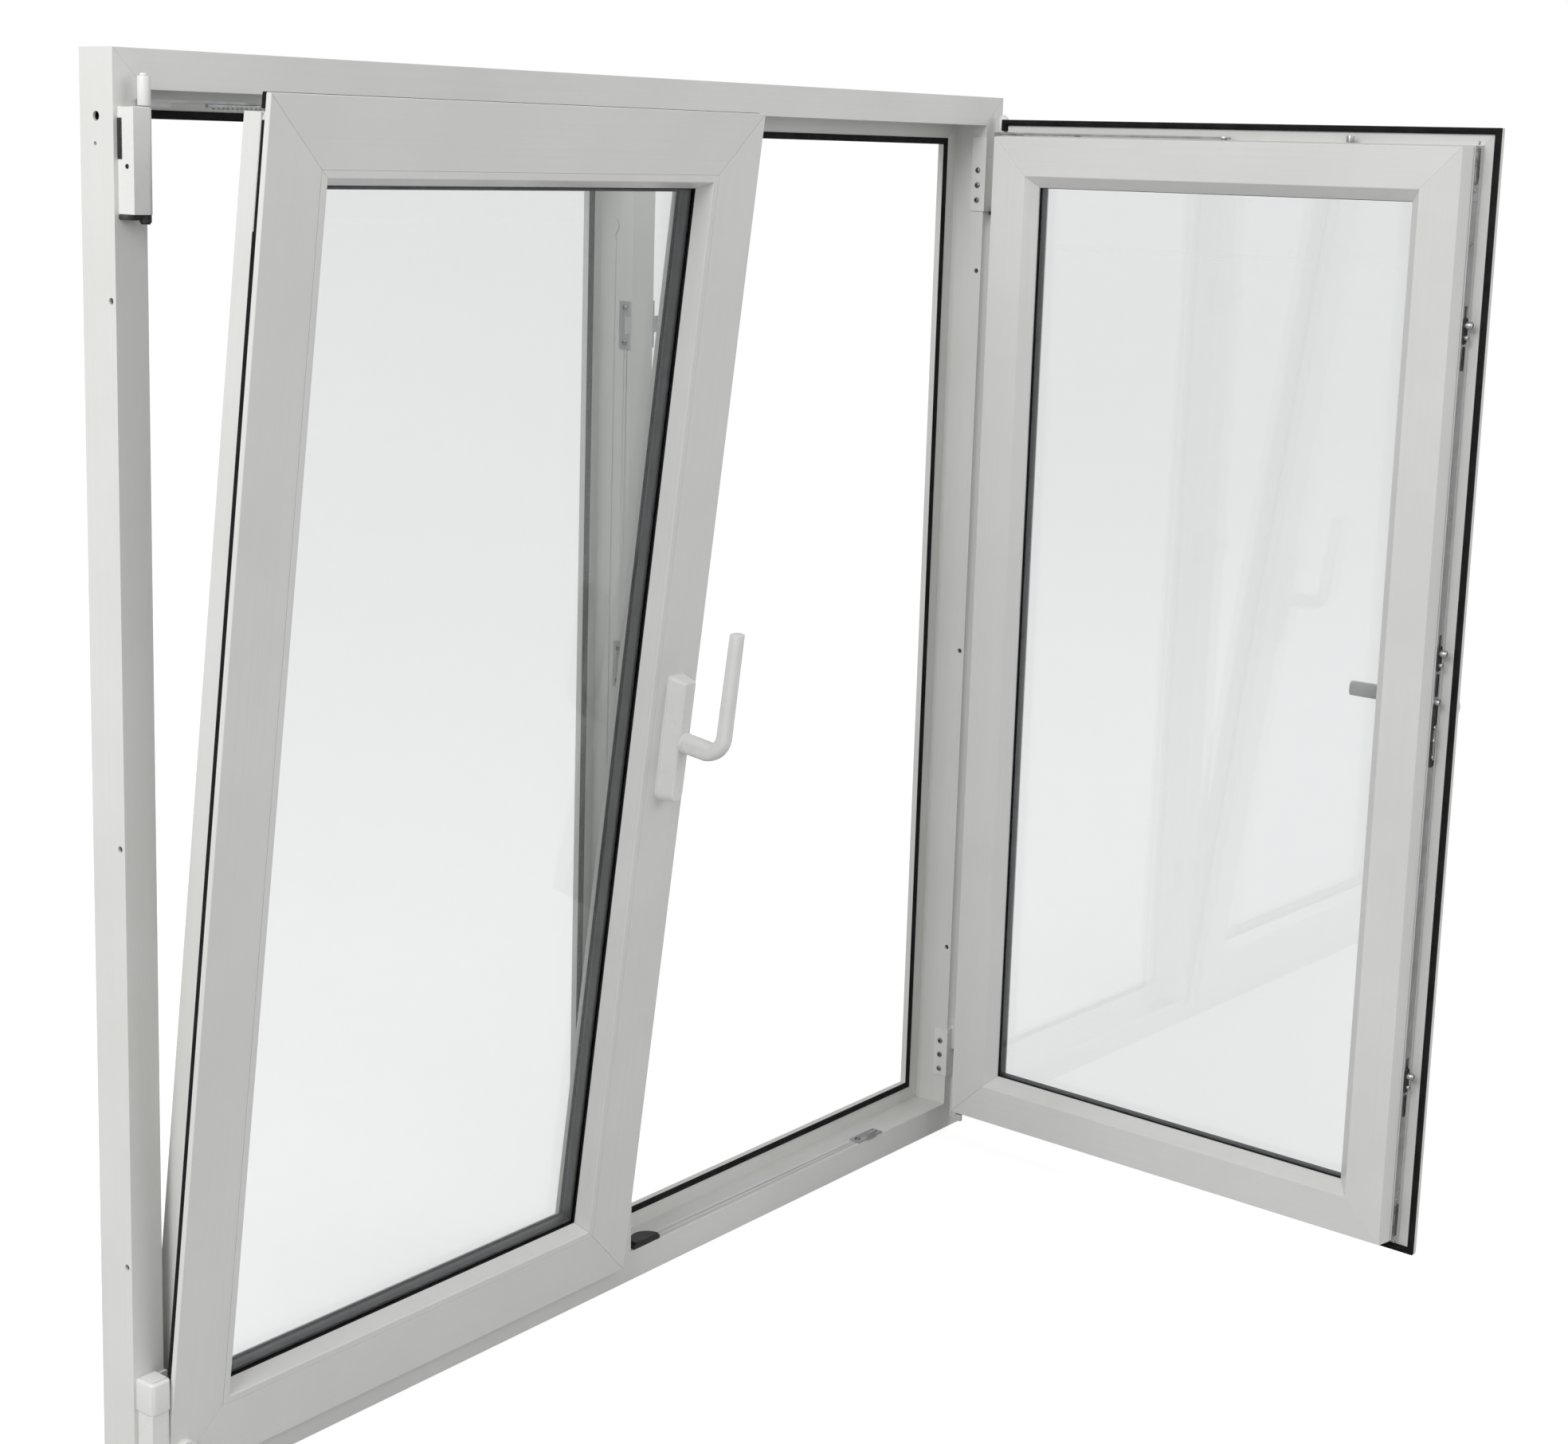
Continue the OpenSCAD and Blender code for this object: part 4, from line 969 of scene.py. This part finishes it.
def gear_front(side):
    """The gearbox's front: a dark window with its levers and two rollers."""
    face = LOCK_SIDE
    middle = SPINDLE.z - 16 * MM
    window = block("window", (face - 0.3 * MM, GROOVE - 6 * MM, middle - 42 * MM),
                   (face + 0.8 * MM, GROOVE + 6 * MM, middle + 34 * MM))
    round_corners(window, 4 * MM, 5, 0)
    rim(window, (1, 0, 0), 1.4 * MM, -0.5 * MM)
    dark = join(side + "_gear_window", [window])
    finish_piece(dark, ON_SASH[side], side + "_sash", "black")
    parts = []
    for lift, radius, tall in ((36, 4.2, 5.5), (6, 3.0, 3.0), (-10, 3.6, 3.4), (-30, 3.2, 3.0)):
        centre = (face + tall * MM / 2, GROOVE, middle + lift * MM)
        part = disc("part", radius * MM, tall * MM, centre, "X", 24)
        rim(part, (1, 0, 0), 1.1 * MM, -0.6 * MM)
        round_ends(part, 0.3 * MM, 2, 0)
        parts.append(part)
    link = block("link", (face, GROOVE - 2 * MM, middle - 30 * MM),
                 (face + 1.9 * MM, GROOVE + 2 * MM, middle + 6 * MM))
    round_corners(link, 1.2 * MM, 3, 0)
    parts.append(link)
    bright = join(side + "_gear_levers", parts)
    finish_piece(bright, ON_SASH[side], side + "_sash", "steel")


def corner_drives(side):
    """Slotted grey covers over the two corner drives, with their rivets."""
    face = LOCK_SIDE
    dark, bright = [], []
    for low in (SASH_FOOT + 22 * MM, SASH_HEAD - 64 * MM):
        cover = block("cover", (face - 0.2 * MM, GROOVE - 4.4 * MM, low),
                      (face + 0.9 * MM, GROOVE + 4.4 * MM, low + COVER_LENGTH))
        round_corners(cover, 1.6 * MM, 3, 0)
        rim(cover, (1, 0, 0), 1.3 * MM, -0.5 * MM)
        dark.append(cover)
        for lift in (-6 * MM, 47 * MM):
            rivet = disc(
                "rivet", 2.3 * MM, 1.0 * MM, (face + 0.4 * MM, GROOVE, low + lift), "X", 20)
            round_ends(rivet, 0.3 * MM, 2, 0)
            bright.append(rivet)
    for low in (SASH_FOOT + 150 * MM, SASH_FOOT + 470 * MM, SASH_FOOT + 900 * MM,
                SASH_HEAD - 130 * MM):
        rivet = disc("screw", 3.0 * MM, 0.8 * MM, (face + 0.3 * MM, GROOVE, low), "X", 20)
        rim(rivet, (1, 0, 0), 1.2 * MM, -0.5 * MM)
        bright.append(rivet)
    covers = join(side + "_corner_covers", dark)
    finish_piece(covers, ON_SASH[side], side + "_sash", "dark steel")
    rivets = join(side + "_faceplate_rivets", bright)
    finish_piece(rivets, ON_SASH[side], side + "_sash", "steel")


# ---------- operators ----------


class WINDOW_OT_finishes(bpy.types.Operator):
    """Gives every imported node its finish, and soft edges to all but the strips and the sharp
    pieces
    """

    bl_idname = "window.finishes"
    bl_label = "Finishes"

    def execute(self, context):
        make_finishes()
        nodes = frame["nodes"]
        wanted = dict(FRAME_FINISHES)
        for part, pair in SASH_FINISHES.items():
            for side, finish in zip(SIDES, pair):
                wanted[side + "_" + part] = finish
        if set(wanted) != set(nodes):
            raise RuntimeError("the finishes and the packed nodes differ")
        for name, finish in wanted.items():
            dress(nodes[name], finish)
            if any(word in name for word in PROFILES) and "strips" not in name:
                soften(nodes[name], sizes().edge)
            elif not any(word in name for word in SHARP):
                soften(nodes[name], sizes().trim_edge, 2)
        return {"FINISHED"}


class WINDOW_OT_handles(bpy.types.Operator):
    """Models the two levers and their bases"""

    bl_idname = "window.handles"
    bl_label = "Handles"

    def execute(self, context):
        for side in SIDES:
            lever(side)
            handle_base(side)
        return {"FINISHED"}


class WINDOW_OT_screws(bpy.types.Operator):
    """Models the screws of the frame's fittings"""

    bl_idname = "window.screws"
    bl_label = "Screws"

    def execute(self, context):
        screws()
        return {"FINISHED"}


class WINDOW_OT_hinges(bpy.types.Operator):
    """Models the hinge caps and the stays' trim"""

    bl_idname = "window.hinges"
    bl_label = "Hinge trim"

    def execute(self, context):
        for side in SIDES:
            hinge_caps(side)
            stay_trim(side)
        return {"FINISHED"}


class WINDOW_OT_locks(bpy.types.Operator):
    """Models the fittings on the lock edges"""

    bl_idname = "window.locks"
    bl_label = "Lock fittings"

    def execute(self, context):
        for side in SIDES:
            lock_points(side)
            gear_front(side)
            corner_drives(side)
        return {"FINISHED"}


def seen_light(tree):
    """1 for what the camera sees, straight or through a pane, and 0 for all other light."""
    path = tree.nodes.new("ShaderNodeLightPath")
    return maths(
        tree, "MAXIMUM", path.outputs["Is Camera Ray"], path.outputs["Is Transmission Ray"])


def floor_material(backdrop, sky):
    """Pale, even studio floor that reads as bright as the backdrop."""
    finish = Finish("studio floor", colours().floor, 0.8, specular=0.1)
    finish.tint(finish.group("mottle", Scale=1.2)["Mask"], (0.53, 0.53, 0.53), 0.5)
    glow = backdrop - FLOOR_SHARE * sky
    lift = maths(finish.tree, "MULTIPLY", seen_light(finish.tree), glow)
    finish.shader.inputs["Emission Color"].default_value = (1, 1, 1, 1)
    finish.tree.links.new(lift, finish.shader.inputs["Emission Strength"])
    return finish.done()


class WINDOW_OT_stage(bpy.types.Operator):
    """Sets the floor, the light and the camera"""

    bl_idname = "window.stage"
    bl_label = "Stage"

    def execute(self, context):
        stage = context.scene.window_stage
        clear_selection()
        bpy.ops.mesh.primitive_plane_add(size=FLOOR_SIZE, location=(0, 0, -FLOOR_DROP))
        floor = context.object
        floor.name = "floor"
        floor.data.materials.append(floor_material(stage.backdrop, stage.sky))

        world = bpy.data.worlds.new("studio")
        context.scene.world = world
        world.use_nodes = True
        tree = world.node_tree
        sky = tree.nodes["Background"]
        sky.inputs["Color"].default_value = (1, 1, 1, 1)
        bright = maths(tree, "MULTIPLY", seen_light(tree), stage.backdrop - stage.sky)
        tree.links.new(maths(tree, "ADD", bright, stage.sky), sky.inputs["Strength"])

        for name, place, size, power in (
                ("key", (-3.6, -0.6, 3.2), 2.4, stage.key),
                ("fill", (1.2, -3.8, 2.6), 2.6, FILL_SHARE * stage.key)):
            bpy.ops.object.light_add(type="AREA", location=place)
            lamp = context.object
            lamp.name = name
            lamp.data.size = size
            lamp.data.energy = power
            aim = LAMP_AIM - Vector(place)
            lamp.rotation_euler = aim.to_track_quat("-Z", "Y").to_euler()

        bpy.ops.object.camera_add(
            location=stage.place, rotation=[math.radians(angle) for angle in stage.aim])
        camera = context.object
        camera.name = "camera"
        camera.data.lens = stage.lens
        camera.data.sensor_width = SENSOR_WIDTH
        camera.data.sensor_fit = "HORIZONTAL"
        camera.data.shift_x, camera.data.shift_y = stage.shift
        context.scene.camera = camera
        context.scene.view_settings.view_transform = "Standard"
        return {"FINISHED"}


class WINDOW_PT_panel(bpy.types.Panel):
    """Lists the sizes, colours and steps"""

    bl_label = "Window"
    bl_idname = "WINDOW_PT_panel"
    bl_space_type = "VIEW_3D"
    bl_region_type = "UI"
    bl_category = "Window"

    def draw(self, context):
        for group in (context.scene.window_sizes, context.scene.window_colours,
                      context.scene.window_stage):
            column = self.layout.column()
            for name in type(group).__annotations__:
                column.prop(group, name)
        for operator in OPERATORS:
            self.layout.operator(operator.bl_idname)


OPERATORS = (WINDOW_OT_finishes, WINDOW_OT_handles, WINDOW_OT_screws, WINDOW_OT_hinges,
             WINDOW_OT_locks, WINDOW_OT_stage)
CLASSES = (WindowSizes, WindowColours, WindowStage) + OPERATORS + (WINDOW_PT_panel,)


def register():
    for cls in CLASSES:
        bpy.utils.register_class(cls)
    bpy.types.Scene.window_sizes = bpy.props.PointerProperty(type=WindowSizes)
    bpy.types.Scene.window_colours = bpy.props.PointerProperty(type=WindowColours)
    bpy.types.Scene.window_stage = bpy.props.PointerProperty(type=WindowStage)


def unregister():
    del bpy.types.Scene.window_stage
    del bpy.types.Scene.window_colours
    del bpy.types.Scene.window_sizes
    for cls in reversed(CLASSES):
        bpy.utils.unregister_class(cls)


def main():
    register()
    bpy.ops.window.finishes()
    bpy.ops.window.handles()
    bpy.ops.window.screws()
    bpy.ops.window.hinges()
    bpy.ops.window.locks()
    bpy.ops.window.stage()
    clear_selection()


if __name__ == "__main__":
    main()
